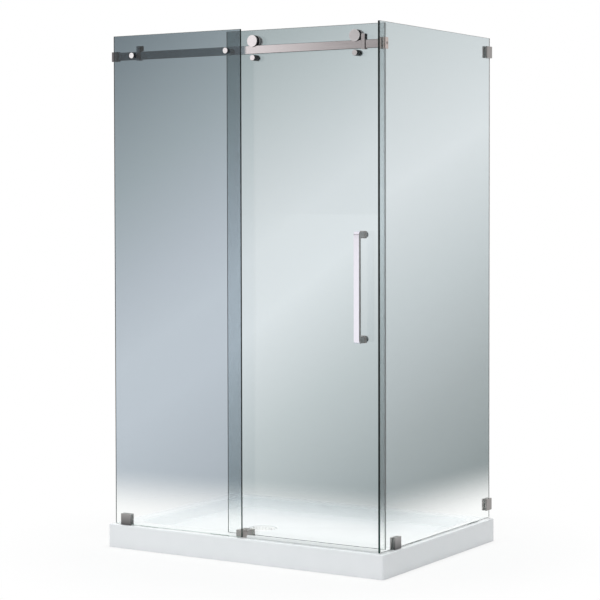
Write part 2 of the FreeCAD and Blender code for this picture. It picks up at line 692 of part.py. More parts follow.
def make_return_bracket():
    """Flared socket inside the return glass, block outside it and one bolt through both."""
    middle_y = "rail_front + rail_thick / 2"
    socket = new_body("rail_return_socket")
    small = new_sketch(socket, "YZ_Plane", "flare_small")
    neck_deep = "rail_thick / 2 + 2"
    neck_tall = "rail_width / 2 + 2"
    draw_box(small, f"-({neck_deep})", f"-({neck_tall})", neck_deep, neck_tall)
    large = new_sketch(socket, "YZ_Plane", "flare_large", "7")
    draw_box(large, "-block_deep / 2", "-block_tall / 2", "block_deep / 2", "block_tall / 2")
    flare = socket.newObject("PartDesign::AdditiveLoft", "flare")
    flare.Profile = small
    flare.Sections = [large]
    flare.Ruled = True
    DOC.recompute()
    plate = new_sketch(socket, "YZ_Plane", "flare_plate", "7")
    draw_box(plate, "-block_deep / 2", "-block_tall / 2", "block_deep / 2", "block_tall / 2")
    extrude(socket, plate, "flare_plate_pad", "6")
    mouth = new_sketch(socket, "YZ_Plane", "flare_mouth")
    half_deep = "rail_thick / 2 + socket_play"
    half_tall = "rail_width / 2 + socket_play"
    draw_box(mouth, f"-({half_deep})", f"-({half_tall})", half_deep, half_tall)
    cut(socket, mouth, "flare_socket", "9")
    bolt_way = new_sketch(socket, "YZ_Plane", "flare_bolt_circle")
    draw_circle(bolt_way, "0", "0", "clamp_screw + 0.3")
    cut(socket, bolt_way, "flare_bolt_hole", "13")
    place(socket, "return_inside - gasket - 13", middle_y, "rail_level")

    outer = new_body("rail_return_block")
    face = new_sketch(outer, "YZ_Plane", "block_face")
    draw_box(face, "-block_deep / 2", "-block_tall / 2", "block_deep / 2", "block_tall / 2")
    block = extrude(outer, face, "block_pad", "block_thick")
    soften(
        outer, block, "block_eased",
        lambda edge: edge.CenterOfMass.x > number("block_thick") - 0.1, "1", "Chamfer",
    )
    hole = new_sketch(outer, "YZ_Plane", "block_bolt_circle")
    draw_circle(hole, "0", "0", "clamp_screw + 0.3")
    cut(outer, hole, "block_bolt_hole", "block_thick")
    head = new_sketch(outer, "YZ_Plane", "block_head_circle", "block_thick")
    draw_circle(head, "0", "0", "5.5")
    cut(outer, head, "block_head_recess", "6.5", False)
    place(outer, "return_inside + glass + gasket", middle_y, "rail_level")

    pad = new_body("return_gasket_blank", listed=False)
    sheet = new_sketch(pad, "YZ_Plane", "return_gasket_face")
    draw_box(sheet, "-block_deep / 2", "-block_tall / 2", "block_deep / 2", "block_tall / 2")
    draw_circle(sheet, "0", "0", "clamp_screw + 0.5")
    extrude(pad, sheet, "return_gasket_pad", "gasket")
    repeat("rail_return_gaskets", pad, (
        ("return_inside - gasket", middle_y, "rail_level"),
        ("return_inside + glass", middle_y, "rail_level"),
    ))

    bolt = new_body("rail_return_bolt")
    turn_profile(bolt, "return_bolt_turning", (
        ("0", "0"), ("clamp_screw", "0"), ("clamp_screw", "35"), ("5", "35"), ("5", "40"),
        ("2.5", "40"), ("2.5", "37"), ("0", "37"),
    ))
    place(
        bolt, "return_inside + glass + gasket + block_thick - 6.5 - 35", middle_y, "rail_level",
        FreeCAD.Rotation(Z_AXIS, -90),
    )


def make_connectors():
    """The rail hangs off the fixed pane on two connectors: cap, gaskets, spacer and bolt."""
    stations = ("connector_one", "connector_two")
    front = "fixed_front"
    back = "fixed_front + glass"

    cap = new_body("connector_cap_blank", listed=False)
    turn_profile(cap, "connector_cap_turning", (
        ("0", "0"), ("connector_cap - 1", "0"), ("connector_cap", "1"), ("connector_cap", "8"),
        ("stud + 0.1", "8"), ("stud + 0.1", "2"), ("0", "2"),
    ))
    repeat("connector_caps", cap, [
        (station, f"{front} - gasket - 8", "rail_level") for station in stations])

    washer = new_body("connector_gasket_blank", listed=False)
    turn_profile(washer, "connector_gasket_turning", (
        ("stud + 0.3", "0"), ("connector_cap - 2.5", "0"),
        ("connector_cap - 2.5", "gasket"), ("stud + 0.3", "gasket"),
    ))
    repeat("connector_gaskets", washer, [
        (station, place_y, "rail_level")
        for station in stations for place_y in (f"{front} - gasket", back)
    ])

    spacer = new_body("connector_spacer_blank", listed=False)
    reach = "rail_front - fixed_front - glass - gasket"
    turn_profile(spacer, "connector_spacer_turning", (
        ("stud + 0.1", "0"), ("connector_spacer - 0.6", "0"), ("connector_spacer", "0.6"),
        ("connector_spacer", f"{reach} - 0.6"), ("connector_spacer - 0.6", reach),
        ("stud + 0.1", reach),
    ))
    repeat("connector_spacers", spacer, [
        (station, f"{back} + gasket", "rail_level") for station in stations])

    bolt = new_body("connector_bolt_blank", listed=False)
    turn_profile(bolt, "connector_bolt_turning", (
        ("0", "0"), ("stud", "0"), ("stud", "35"), ("7", "35"), ("7", "37.5"), ("6", "38.5"),
        ("2.5", "38.5"), ("2.5", "36.5"), ("0", "36.5"),
    ))
    repeat("connector_bolts", bolt, [
        (station, "rail_front + rail_thick - 35", "rail_level") for station in stations])


# ---------------------------------------------------------------- door stops


def make_stop(label, station, side):
    """A saddle over the rail; its bumper meets the wheel between the flanges."""
    body = new_body(label)
    slot_low = "-stop_play"
    slot_high = "rail_thick + stop_play"
    rail_top = "rail_level + rail_width / 2 - stop_low + stop_play"
    outline = new_sketch(body, "YZ_Plane", label + "_outline")
    draw_outline(outline, (
        ("-stop_cheek", "0"), (slot_low, "0"), (slot_low, rail_top), (slot_high, rail_top),
        (slot_high, "0"), ("rail_thick + stop_cheek", "0"),
        ("rail_thick + stop_cheek", "stop_tall"), ("-stop_cheek", "stop_tall"),
    ))
    saddle = extrude(body, outline, label + "_saddle", "stop_wide")
    front = -number("stop_cheek")
    soften(
        body, saddle, label + "_eased",
        lambda edge: all(v.Point.y < front + 0.01 for v in edge.Vertexes), "0.8", "Chamfer",
    )
    grub = new_sketch(body, "XZ_Plane", label + "_grub_circle", "-(rail_thick + stop_cheek)")
    draw_circle(grub, "stop_wide / 2", "18", "2.6")
    cut(body, grub, label + "_grub_hole", "stop_cheek", True)
    stem = new_sketch(
        body, "YZ_Plane", label + "_stem_circle", "stop_wide" if side > 0 else "0")
    draw_circle(stem, "rail_thick / 2", "stop_tall - bumper_tall / 2", "2.6")
    cut(body, stem, label + "_stem_hole", "6", side < 0)
    place(body, station, "rail_front", "stop_low")


def make_bumper(label, station, length, side):
    """Rubber pad with a rounded nose and a stem that plugs into the stop."""
    body = new_body(label)
    face = new_sketch(body, "YZ_Plane", label + "_face")
    draw_rounded_box(
        face, "-bumper_wide / 2", "-bumper_tall / 2", "bumper_wide / 2", "bumper_tall / 2", "2.5")
    pad = extrude(body, face, label + "_pad", length)
    soften(
        body, pad, label + "_nose",
        lambda edge: edge.CenterOfMass.x > number(length) - 0.01, "1.2", "Chamfer",
    )
    stem = new_sketch(body, "YZ_Plane", label + "_stem_circle")
    draw_circle(stem, "0", "0", "2.5")
    extrude(body, stem, label + "_stem", "5.5", True)
    turn = UPRIGHT if side > 0 else FreeCAD.Rotation(Z_AXIS, 180)
    place(
        body, station, "rail_front + rail_thick / 2", "stop_low + stop_tall - bumper_tall / 2",
        turn,
    )


def make_stops():
    make_stop("stop_left", "stop_one", 1)
    make_stop("stop_right", "stop_two", -1)
    make_bumper("bumper_left", "stop_one + stop_wide", "bumper_long", 1)
    make_bumper("bumper_right", "stop_two", "bumper_short", -1)

    grub = new_body("grub_screw_blank", listed=False)
    turn_profile(grub, "grub_turning", (
        ("0", "0"), ("2.5", "0"), ("2.5", "3.5"), ("1.4", "3.5"), ("1.4", "1.5"), ("0", "1.5"),
    ))
    behind = "rail_front + rail_thick"
    upward = FreeCAD.Rotation(X_AXIS, -90)
    repeat("grub_screws", grub, (
        ("stop_one + stop_wide / 2", behind, "stop_low + 18"),
        ("stop_two + stop_wide / 2", behind, "stop_low + 18"),
        ("bracket_long - 10", "rail_front + rail_thick / 2", "rail_level - rail_width / 2"),
    ), (UPRIGHT, UPRIGHT, upward))


# ---------------------------------------------------------------- glass clips


def make_clip(label, station, turn):
    """Two halves that pinch the glass; the boss in its notch is screwed to wall or tray.

    Local z leads away from the wall or tray, local -y is the outside of the enclosure.
    """
    half = "glass / 2 + gasket"
    body = new_body(label)
    profile = new_sketch(body, "YZ_Plane", label + "_profile", "-clip_wide / 2")
    draw_box(profile, half, "0", f"{half} + clip_plate", "clip_tall")
    inner = extrude(body, profile, label + "_half", "clip_wide")
    back = number(half + " + clip_plate")
    soften(
        body, inner, label + "_eased",
        lambda edge: all(v.Point.y > back - 0.01 for v in edge.Vertexes), "1", "Chamfer",
    )
    boss = new_sketch(body, "XZ_Plane", label + "_boss_outline", half)
    draw_box(boss, "-boss_wide / 2", "0", "boss_wide / 2", "boss_tall")
    extrude(body, boss, label + "_boss", f"2 * ({half})", True)
    anchors = new_sketch(body, "XY_Plane", label + "_anchor_circles")
    draw_circle(anchors, "anchor_spacing / 2", "0", "anchor_hole")
    draw_circle(anchors, "-anchor_spacing / 2", "0", "anchor_hole")
    cut(body, anchors, label + "_anchors", "boss_tall")
    clamp = new_sketch(body, "XZ_Plane", label + "_clamp_circle", half)
    draw_circle(clamp, "0", "boss_tall / 2", "clamp_screw + 0.2")
    cut(body, clamp, label + "_clamp_hole", "clip_plate + 12", False)
    head = new_sketch(body, "XZ_Plane", label + "_head_circle", f"-({half} + clip_plate)")
    draw_circle(head, "0", "boss_tall / 2", "5.5")
    cut(body, head, label + "_head_recess", "6.5", True)
    place(body, *station, turn=turn)

    plate = new_body(label + "_plate")
    outline = new_sketch(plate, "XZ_Plane", label + "_plate_outline", half)
    draw_box(outline, "-clip_wide / 2", "0", "clip_wide / 2", "clip_tall")
    pad = extrude(plate, outline, label + "_plate_pad", "clip_plate")
    front = -number(half + " + clip_plate")
    soften(
        plate, pad, label + "_plate_eased",
        lambda edge: all(v.Point.y < front + 0.01 for v in edge.Vertexes), "1", "Chamfer",
    )
    tapped = new_sketch(plate, "XZ_Plane", label + "_tapped_circle", half)
    draw_circle(tapped, "0", "boss_tall / 2", "clamp_screw + 0.1")
    cut(plate, tapped, label + "_tapped_hole", "clip_plate - 3", True)
    place(plate, *station, turn=turn)


def floor_screw_stations():
    """Where the two floor clips are screwed down into the tray's rim."""
    along = "fixed_clip_x", "return_clip_y"
    across = "fixed_front + glass / 2", "return_inside + glass / 2"
    found = []
    for side in ("-", "+"):
        shift = f"{side} anchor_spacing / 2"
        found.append((f"{along[0]} {shift}", across[0], "tray_height"))
        found.append((across[1], f"{along[1]} {shift}", "tray_height"))
    return found


def make_clips():
    glass_middle = "fixed_front + glass / 2"
    return_middle = "return_inside + glass / 2"
    clips = (
        ("fixed_floor_clip", ("fixed_clip_x", glass_middle, "tray_height"), UPRIGHT),
        ("return_floor_clip", (return_middle, "return_clip_y", "tray_height"), FACING_OUT),
        ("upper_wall_clip", (return_middle, "tray_depth", "clip_high"), ON_BACK_WALL),
        ("lower_wall_clip", (return_middle, "tray_depth", "clip_low"), ON_BACK_WALL),
    )
    for label, station, turn in clips:
        make_clip(label, station, turn)
    stations = [station for _, station, _ in clips]
    turns = [turn for _, _, turn in clips]

    make_clip_gaskets(stations, turns)

    screw = new_body("clip_screw_blank", listed=False)
    turn_profile(screw, "clip_screw_turning", (
        ("0", "0"), ("clamp_screw", "0"), ("clamp_screw", "clamp_long"), ("5", "clamp_long"),
        ("5", "clamp_long + 4"), ("2.5", "clamp_long + 4"), ("2.5", "clamp_long + 1.5"),
        ("0", "clamp_long + 1.5"),
    ))
    offset = FreeCAD.Vector(
        0, number("glass / 2 + gasket + clip_plate - 6.5 - clamp_long"), number("boss_tall / 2"))
    repeat_offset("clip_screws", screw, stations, turns, offset)

    floor_screw = new_body("floor_screw_blank", listed=False)
    turn_profile(floor_screw, "floor_screw_turning", (
        ("0", "-9"), ("2.5", "-9"), ("2.5", "boss_tall + 0.05"), ("4.4", "boss_tall + 0.05"),
        ("4.4", "boss_tall + 1.2"), ("3.6", "boss_tall + 1.6"), ("0", "boss_tall + 1.6"),
    ), "XZ_Plane")
    repeat("floor_clip_screws", floor_screw, floor_screw_stations())


def make_clip_gaskets(stations, turns):
    """Clear gaskets on both sides of the glass in every clip."""
    rise = "boss_tall + notch_play"
    reach = "boss_wide / 2 + notch_play"
    blank = new_body("clip_gasket_blank", listed=False)
    sheet = new_sketch(blank, "XZ_Plane", "clip_gasket_outline")
    draw_outline(sheet, (
        ("-clip_wide / 2", "glass_seat"), (f"-({reach})", "glass_seat"),
        (f"-({reach})", rise), (reach, rise), (reach, "glass_seat"),
        ("clip_wide / 2", "glass_seat"), ("clip_wide / 2", "clip_tall"),
        ("-clip_wide / 2", "clip_tall"),
    ))
    extrude(blank, sheet, "clip_gasket_pad", "gasket", True)
    outer = FreeCAD.Vector(0, number("-glass / 2 - gasket"), 0)
    inner = FreeCAD.Vector(0, number("glass / 2"), 0)
    repeat_offset("clip_gaskets", blank, stations * 2, turns * 2,
                  [outer] * len(stations) + [inner] * len(stations))


def repeat_offset(label, source, stations, turns, offsets):
    """Copies that stand off their stations by a vector in the turned frame."""
    if isinstance(offsets, FreeCAD.Vector):
        offsets = [offsets] * len(stations)
    moved = []
    for station, turn, offset in zip(stations, turns, offsets):
        shift = turn.multVec(offset)
        moved.append([f"({station[k]}) + ({shift[k]:.6f})" for k in range(3)])
    return repeat(label, source, moved, turns)


# ---------------------------------------------------------------- guide and threshold


def make_guide():
    """Channel on the rim that keeps the door's foot in line, with two nylon liners."""
    body = new_body("bottom_guide")
    slot_front = "door_front + glass / 2 - guide_slot / 2 - guide_front"
    slot_back = f"{slot_front} + guide_slot"
    outline = new_sketch(body, "YZ_Plane", "guide_outline")
    draw_outline(outline, (
        ("0", "0"), ("guide_deep", "0"), ("guide_deep", "guide_tall - 3"),
        ("guide_deep - 3", "guide_tall"), (slot_back, "guide_tall"), (slot_back, "3"),
        (slot_front, "3"), (slot_front, "guide_tall"), ("3", "guide_tall"),
        ("0", "guide_tall - 3"),
    ))
    extrude(body, outline, "guide_channel", "guide_long")
    ways = new_sketch(body, "XY_Plane", "guide_screw_circles", "guide_tall")
    heads = new_sketch(body, "XY_Plane", "guide_head_circles", "guide_tall")
    for place_x in ("14", "guide_long - 14"):
        draw_circle(ways, place_x, "17", "2.7")
        draw_circle(heads, place_x, "17", "5.2")
    cut(body, heads, "guide_head_recesses", "guide_tall - 6", False)
    cut(body, ways, "guide_screw_holes", "guide_tall", False)
    place(body, "guide_left", "guide_front", "tray_height")

    liner = DOC.addObject("Part::Box", "guide_liner_blank")
    liner.setExpression("Length", bound("guide_long - 2"))
    liner.setExpression("Width", bound("guide_slot / 2 - glass / 2 - 0.6"))
    liner.setExpression("Height", bound("guide_tall - 5"))
    thick = "guide_slot / 2 - glass / 2 - 0.6"
    repeat("guide_liners", liner, (
        ("guide_left + 1", f"{slot_front} + guide_front", "tray_height + 4"),
        ("guide_left + 1", f"{slot_back} + guide_front - ({thick})", "tray_height + 4"),
    ))

    screw = new_body("guide_screw_blank", listed=False)
    turn_profile(screw, "guide_screw_turning", (
        ("0", "-7"), ("2.5", "-7"), ("2.5", "5.5"), ("4.8", "5.5"), ("4.8", "8.5"), ("4", "9.3"),
        ("0", "9.3"),
    ), "XZ_Plane")
    repeat("guide_screws", screw, (
        ("guide_left + 14", "guide_front + 17", "tray_height + 0.55"),
        ("guide_left + guide_long - 14", "guide_front + 17", "tray_height + 0.55"),
    ))

    strip = new_body("threshold_strip")
    section = new_sketch(strip, "YZ_Plane", "strip_section")
    draw_outline(section, (
        ("0", "0"), ("sill_deep", "0"), ("sill_deep", "sill_tall - 1.5"),
        ("sill_deep - 1.5", "sill_tall"), ("sill_deep - 5", "sill_tall"),
        ("0", "sill_tall - 6"),
    ))
    extrude(strip, section, "strip_pad", "sill_right - guide_left - guide_long - 4")
    place(strip, "guide_left + guide_long + 4", "sill_front", "tray_height")


# ---------------------------------------------------------------- door hardware


def make_rollers():
    """Two hangers: disc and axle on the glass, bearing, grooved wheel and bright cap."""
    axis_level = "rail_level + rail_width / 2 + roll_radius"
    stations = ("roller_one", "roller_two")
    face = "door_front - gasket"
    tread_front = "rail_front - 0.6"
    tread_back = "rail_front + rail_thick + 0.6"
    wheel_back = "rail_front + rail_thick + 3.5"
    bearing_front = "rail_front + rail_thick / 2 - bearing_wide / 2 - 0.5"
    bearing_back = f"{bearing_front} + bearing_wide"
    seat = "bearing_outer + 0.05"

    mount = new_body("roller_mount_blank", listed=False)
    turn_profile(mount, "mount_turning", (
        ("0", "wheel_front + 1"), ("axle - 0.6", "wheel_front + 1"), ("axle", "wheel_front + 1.6"),
        ("axle", f"{bearing_back} + 0.2"),
        ("5.5", f"{bearing_back} + 0.2"), ("5.5", f"{wheel_back} + 1"),
        ("hanger_disc - 1.5", f"{wheel_back} + 1"), ("hanger_disc", f"{wheel_back} + 2.5"),
        ("hanger_disc", face), ("5", face), ("5", "door_front + glass + 8"),
        ("0", "door_front + glass + 8"),
    ))
    repeat("roller_mounts", mount, [(x, "0", axis_level) for x in stations])

    nut = new_body("axle_nut_blank", listed=False)
    turn_profile(nut, "axle_nut_turning", (
        ("axle + 0.05", "0"), ("6.2", "0"), ("6.2", "2.2"), ("5.4", "2.8"), ("axle + 0.05", "2.8"),
    ))
    repeat("axle_nuts", nut, [(x, "wheel_front + 1.5", axis_level) for x in stations])

    for side, x_station in zip(("left", "right"), stations):
        wheel = new_body("wheel_" + side)
        turn_profile(wheel, f"wheel_{side}_turning", (
            ("9", "wheel_front"), ("wheel_flange", "wheel_front"), ("wheel_flange", tread_front),
            ("roll_radius - running_gap + 0.8", tread_front),
            ("roll_radius - running_gap", f"{tread_front} + 0.4"),
            ("roll_radius - running_gap", f"{tread_back} - 0.4"),
            ("roll_radius - running_gap + 0.8", tread_back),
            ("wheel_flange", tread_back), ("wheel_flange", f"{wheel_back} - 0.8"),
            ("wheel_flange - 0.8", wheel_back), ("6.2", wheel_back),
            ("6.2", f"{bearing_back} + 0.05"), (seat, f"{bearing_back} + 0.05"),
            (seat, bearing_front), ("9", bearing_front),
        ))
        place(wheel, x_station, "0", axis_level)

        bearing = new_body("wheel_bearing_" + side)
        turn_profile(bearing, f"bearing_{side}_turning", (
            ("bearing_bore", "0"), ("bearing_bore + 2", "0"), ("bearing_bore + 2", "0.6"),
            ("bearing_outer - 2", "0.6"), ("bearing_outer - 2", "0"), ("bearing_outer - 0.4", "0"),
            ("bearing_outer", "0.4"), ("bearing_outer", "bearing_wide - 0.4"),
            ("bearing_outer - 0.4", "bearing_wide"), ("bearing_outer - 2", "bearing_wide"),
            ("bearing_outer - 2", "bearing_wide - 0.6"), ("bearing_bore + 2", "bearing_wide - 0.6"),
            ("bearing_bore + 2", "bearing_wide"), ("bearing_bore", "bearing_wide"),
        ))
        place(bearing, x_station, bearing_front, axis_level)

        cap = new_body("wheel_cap_" + side)
        turn_profile(cap, f"wheel_cap_{side}_turning", (
            ("0", "0"), ("hanger_disc - 1", "0"), ("hanger_disc", "1"), ("hanger_disc", "2.5"),
            ("8.9", "2.5"), ("8.9", "6"), ("7.4", "6"), ("7.4", "2.5"), ("0", "2.5"),
        ))
        place(cap, x_station, "wheel_front - 2.5", axis_level)

    inner = new_body("roller_cap_blank", listed=False)
    turn_profile(inner, "roller_cap_turning", (
        ("5.1", "0"), ("hanger_disc - 3", "0"), ("hanger_disc - 3", "8"), ("hanger_disc - 5", "10"),
        ("0", "10"), ("0", "7.5"), ("5.1", "7.5"),
    ))
    repeat("roller_inner_caps", inner, [
        (x, "door_front + glass + gasket", axis_level) for x in stations])


def make_anti_lift():
    """Small rollers below the rail that stop the door from being lifted off."""
    level = "rail_level + rail_width / 2 + roll_radius - lift_drop"
    stations = ("roller_one", "roller_two")
    face = "door_front - gasket"
    back = "rail_front + rail_thick + 4.2"

    stud = new_body("antilift_stud_blank", listed=False)
    turn_profile(stud, "antilift_stud_turning", (
        ("0", "rail_front - 4"), ("lift_radius - 0.8", "rail_front - 4"),
        ("lift_radius", "rail_front - 3.2"), ("lift_radius", "rail_front"),
        ("axle", "rail_front"), ("axle", back), ("lift_radius - 0.6", back),
        ("lift_radius", f"{back} + 0.6"), ("lift_radius", face), ("axle", face),
        ("axle", "door_front + glass + 6"), ("0", "door_front + glass + 6"),
    ))
    repeat("antilift_studs", stud, [(x, "0", level) for x in stations])

    for side, x_station in zip(("left", "right"), stations):
        roller = new_body("antilift_roller_" + side)
        turn_profile(roller, f"antilift_{side}_turning", (
            ("bearing_bore", "rail_front + 0.4"), ("lift_radius - 1.2", "rail_front + 0.4"),
            ("lift_radius - 0.4", "rail_front + 1.2"),
            ("lift_radius - 0.4", f"{back} - 1.2"), ("lift_radius - 1.2", f"{back} - 0.4"),
            ("bearing_bore", f"{back} - 0.4"),
        ))
        place(roller, x_station, "0", level)

    cap = new_body("antilift_cap_blank", listed=False)
    turn_profile(cap, "antilift_cap_turning", (
        ("axle + 0.1", "0"), ("lift_radius", "0"), ("lift_radius", "6"), ("lift_radius - 1", "7"),
        ("0", "7"), ("0", "5.5"), ("axle + 0.1", "5.5"),
    ))
    repeat("antilift_inner_caps", cap, [
        (x, "door_front + glass + gasket", level) for x in stations])

    washer = new_body("hanger_gasket_blank", listed=False)
    turn_profile(washer, "hanger_gasket_turning", (
        ("5.3", "0"), ("lift_radius - 0.5", "0"), ("lift_radius - 0.5", "gasket"),
        ("5.3", "gasket"),
    ))
    axis_level = "rail_level + rail_width / 2 + roll_radius"
    places = []
    for x_station in stations:
        for height in (axis_level, level):
            places.append((x_station, "door_front - gasket", height))
            places.append((x_station, "door_front + glass", height))
    repeat("hanger_gaskets", washer, places)


def make_handle():
    """D handle: flat bar that bends back into two square posts, collars and inner caps."""
    post_back = "door_front - gasket - collar_deep"
    low_post = "post_tall / 2 + 1"
    high_post = "handle_long - post_tall / 2 - 1"
    half = "handle_wide / 2"

    body = new_body("pull_handle")
    face = new_sketch(body, "XZ_Plane", "handle_bar_face")
    draw_box(face, f"-{half}", "0", half, "handle_long")
    bar = extrude(body, face, "handle_bar", "handle_deep", True)
    bent = soften(
        body, bar, "handle_bends",
        lambda edge: runs_along(edge, X_AXIS) and edge.CenterOfMass.y < 0.01, "handle_bend",
    )
    posts = new_sketch(body, "XZ_Plane", "handle_posts", "-handle_deep")
    for middle in (low_post, high_post):
        draw_box(
            posts, f"-{half}", f"{middle} - post_tall / 2", half, f"{middle} + post_tall / 2")
    reach = f"{post_back} - handle_front - handle_deep"
    legs = extrude(body, posts, "handle_legs", reach, True)
    soften(
        body, legs, "handle_eased",
        lambda edge: (
            abs(abs(edge.CenterOfMass.x) - number(half)) < 0.5
            and edge.CenterOfMass.y < number("handle_deep") - 0.01
            and not runs_along(edge, X_AXIS)
        ), "1.6",
    )
    bores = new_sketch(body, "XZ_Plane", "handle_bores", f"-({post_back} - handle_front)")
    for middle in (low_post, high_post):
        draw_circle(bores, "0", middle, "stud + 0.1")
    cut(body, bores, "handle_tapping", "18", True)
    place(body, "handle_x", "handle_front", "handle_low")

    levels = (f"handle_low + {low_post}", f"handle_low + {high_post}")
    collar = new_body("handle_collar_blank", listed=False)
    square = new_sketch(collar, "XZ_Plane", "collar_face")
    draw_rounded_box(
        square, "-handle_wide / 2 - 1.5", "-post_tall / 2 - 1.5", "handle_wide / 2 + 1.5",
        "post_tall / 2 + 1.5", "3",
    )
    draw_circle(square, "0", "0", "stud + 0.3")
    extrude(collar, square, "collar_pad", "collar_deep", True)
    repeat("handle_collars", collar, [("handle_x", post_back, level) for level in levels])

    pad = new_body("handle_gasket_blank", listed=False)
    turn_profile(pad, "handle_gasket_turning", (
        ("stud + 0.3", "0"), ("handle_wide / 2", "0"), ("handle_wide / 2", "gasket"),
        ("stud + 0.3", "gasket"),
    ))
    repeat("handle_gaskets", pad, [
        ("handle_x", place_y, level)
        for level in levels for place_y in ("door_front - gasket", "door_front + glass")
    ])

    cap = new_body("handle_cap_blank", listed=False)
    turn_profile(cap, "handle_cap_turning", (
        ("stud + 0.1", "0"), ("handle_wide / 2 + 1", "0"), ("handle_wide / 2 + 1", "6"),
        ("handle_wide / 2 - 0.5", "7.5"), ("0", "7.5"), ("0", "6"), ("stud + 0.1", "6"),
    ))
    repeat("handle_inner_caps", cap, [
        ("handle_x", "door_front + glass + gasket", level) for level in levels])

    stud = new_body("handle_stud_blank", listed=False)
    turn_profile(stud, "handle_stud_turning", (
        ("0", "0"), ("stud", "0"), ("stud", "40"), ("0", "40"),
    ))
    repeat("handle_studs", stud, [
        ("handle_x", "door_front + glass + gasket + 5 - 40", level) for level in levels])


def make_strike_seal():
    """Clear seal pushed on the door's closing edge, with a bulb towards the return glass."""
    body = new_body("door_strike_seal")
    section = new_sketch(body, "XY_Plane", "seal_section")
    draw_outline(section, (
        ("-9", "-1.3"), ("2", "-1.3"), ("4", "0.2"), ("5.8", "2.5"), ("5.8", "glass - 2.5"),
        ("4", "glass - 0.2"), ("2", "glass + 1.3"), ("-9", "glass + 1.3"), ("-9", "glass + 0.1"),
        ("0.1", "glass + 0.1"), ("0.1", "-0.1"), ("-9", "-0.1"),
    ))
    extrude(body, section, "seal_pad", "door_top - door_bottom - 8")
    place(body, "door_right", "door_front", "door_bottom + 4")


# ---------------------------------------------------------------- checks and export


def check_model():
    """Stop on any failed object, empty or invalid shape, or cut that removed nothing."""
    problems = []
    for item in DOC.Objects:
        if "Invalid" in item.State or "Error" in item.State:
            problems.append(f"{item.Name}: {item.State}")
        removes = item.TypeId in (
            "PartDesign::Pocket", "PartDesign::SubtractiveLoft", "PartDesign::LinearPattern",
            "PartDesign::PolarPattern",
        )
        if removes:
            before = item.BaseFeature.Shape.Volume
            if item.Shape.Volume > before - 0.01:
                problems.append(f"{item.Name} removes nothing")
    for item in SUBPARTS:
        if item.Shape.isNull() or not item.Shape.isValid():
            problems.append(f"{item.Label} has no valid shape")
    if problems:
        raise RuntimeError("; ".join(problems))


def export_parts():
    os.makedirs("parts", exist_ok=True)
    for item in SUBPARTS:
        item.Shape.exportStep(f"parts/{item.Label}.step")
        box = item.Shape.BoundBox
        print(
            f"{item.Label:26s} solids {len(item.Shape.Solids):2d}  "
            f"x {box.XMin:8.1f} {box.XMax:8.1f}  y {box.YMin:7.1f} {box.YMax:7.1f}  "
            f"z {box.ZMin:7.1f} {box.ZMax:7.1f}"
        )


fill_sheet()
make_tray()
make_drain()
make_panes()
make_rail()
make_wall_bracket()
make_return_bracket()
make_connectors()
make_stops()
make_clips()
make_guide()
make_rollers()
make_anti_lift()
make_handle()
make_strike_seal()
DOC.recompute()
check_model()
export_parts()
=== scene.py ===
# %% [markdown]
# # A corner shower enclosure with a sliding glass door
# The real object is three panes of tempered glass on a white acrylic tray. A flat steel rail
# carries the sliding door on two grooved wheels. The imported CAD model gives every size, so this
# lesson only adds what CAD leaves out: soft edges, the finish of each material, and light.

import json
import math

import bmesh
import bpy
from mathutils import Matrix, Vector


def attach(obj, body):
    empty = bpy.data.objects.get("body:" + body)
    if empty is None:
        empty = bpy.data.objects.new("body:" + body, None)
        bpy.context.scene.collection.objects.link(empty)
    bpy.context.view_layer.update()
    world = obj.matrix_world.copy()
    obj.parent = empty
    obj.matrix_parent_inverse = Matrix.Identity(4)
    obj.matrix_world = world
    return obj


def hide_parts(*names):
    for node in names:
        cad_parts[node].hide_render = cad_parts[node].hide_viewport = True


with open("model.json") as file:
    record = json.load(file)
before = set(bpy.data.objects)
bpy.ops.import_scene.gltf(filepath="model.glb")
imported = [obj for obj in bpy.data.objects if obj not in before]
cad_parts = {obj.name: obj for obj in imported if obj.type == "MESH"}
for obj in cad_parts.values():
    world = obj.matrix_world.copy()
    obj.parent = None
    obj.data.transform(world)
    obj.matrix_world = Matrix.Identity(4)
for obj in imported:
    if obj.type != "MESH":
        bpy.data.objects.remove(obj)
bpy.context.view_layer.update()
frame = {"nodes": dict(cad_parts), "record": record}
scene = bpy.context.scene
body_of_node = {
    node: body
    for body, nodes in frame["record"]["behaviour"]["bodies"].items()
    for node in nodes
}

# %% [markdown]
# Operators act on everything that is selected, so each step starts from an empty selection.
# These helpers pick one object, or pick faces and edges by a test on their place or normal,
# which is how a hand-made selection is written down in code.

# %% Helpers for selecting


def select_only(piece):
    bpy.ops.object.select_all(action="DESELECT")
    piece.select_set(True)
    bpy.context.view_layer.objects.active = piece


def in_edit_mode(piece):
    select_only(piece)
    bpy.ops.object.mode_set(mode="EDIT")
    bpy.ops.mesh.select_all(action="DESELECT")


def back_to_object_mode():
    bpy.ops.object.mode_set(mode="OBJECT")


def select_faces(piece, test):
    """Select the faces of the piece in edit mode that pass a test; returns how many."""
    bpy.ops.mesh.select_mode(type="FACE")
    bpy.ops.mesh.select_all(action="DESELECT")
    mesh = bmesh.from_edit_mesh(piece.data)
    count = 0
    for face in mesh.faces:
        if test(face):
            face.select_set(True)
            count += 1
    bmesh.update_edit_mesh(piece.data)
    return count


def select_edges(piece, test):
    bpy.ops.mesh.select_mode(type="EDGE")
    bpy.ops.mesh.select_all(action="DESELECT")
    mesh = bmesh.from_edit_mesh(piece.data)
    count = 0
    for edge in mesh.edges:
        if test(edge):
            edge.select_set(True)
            count += 1
    bmesh.update_edit_mesh(piece.data)
    return count


def middle(edge):
    return (edge.verts[0].co + edge.verts[1].co) / 2


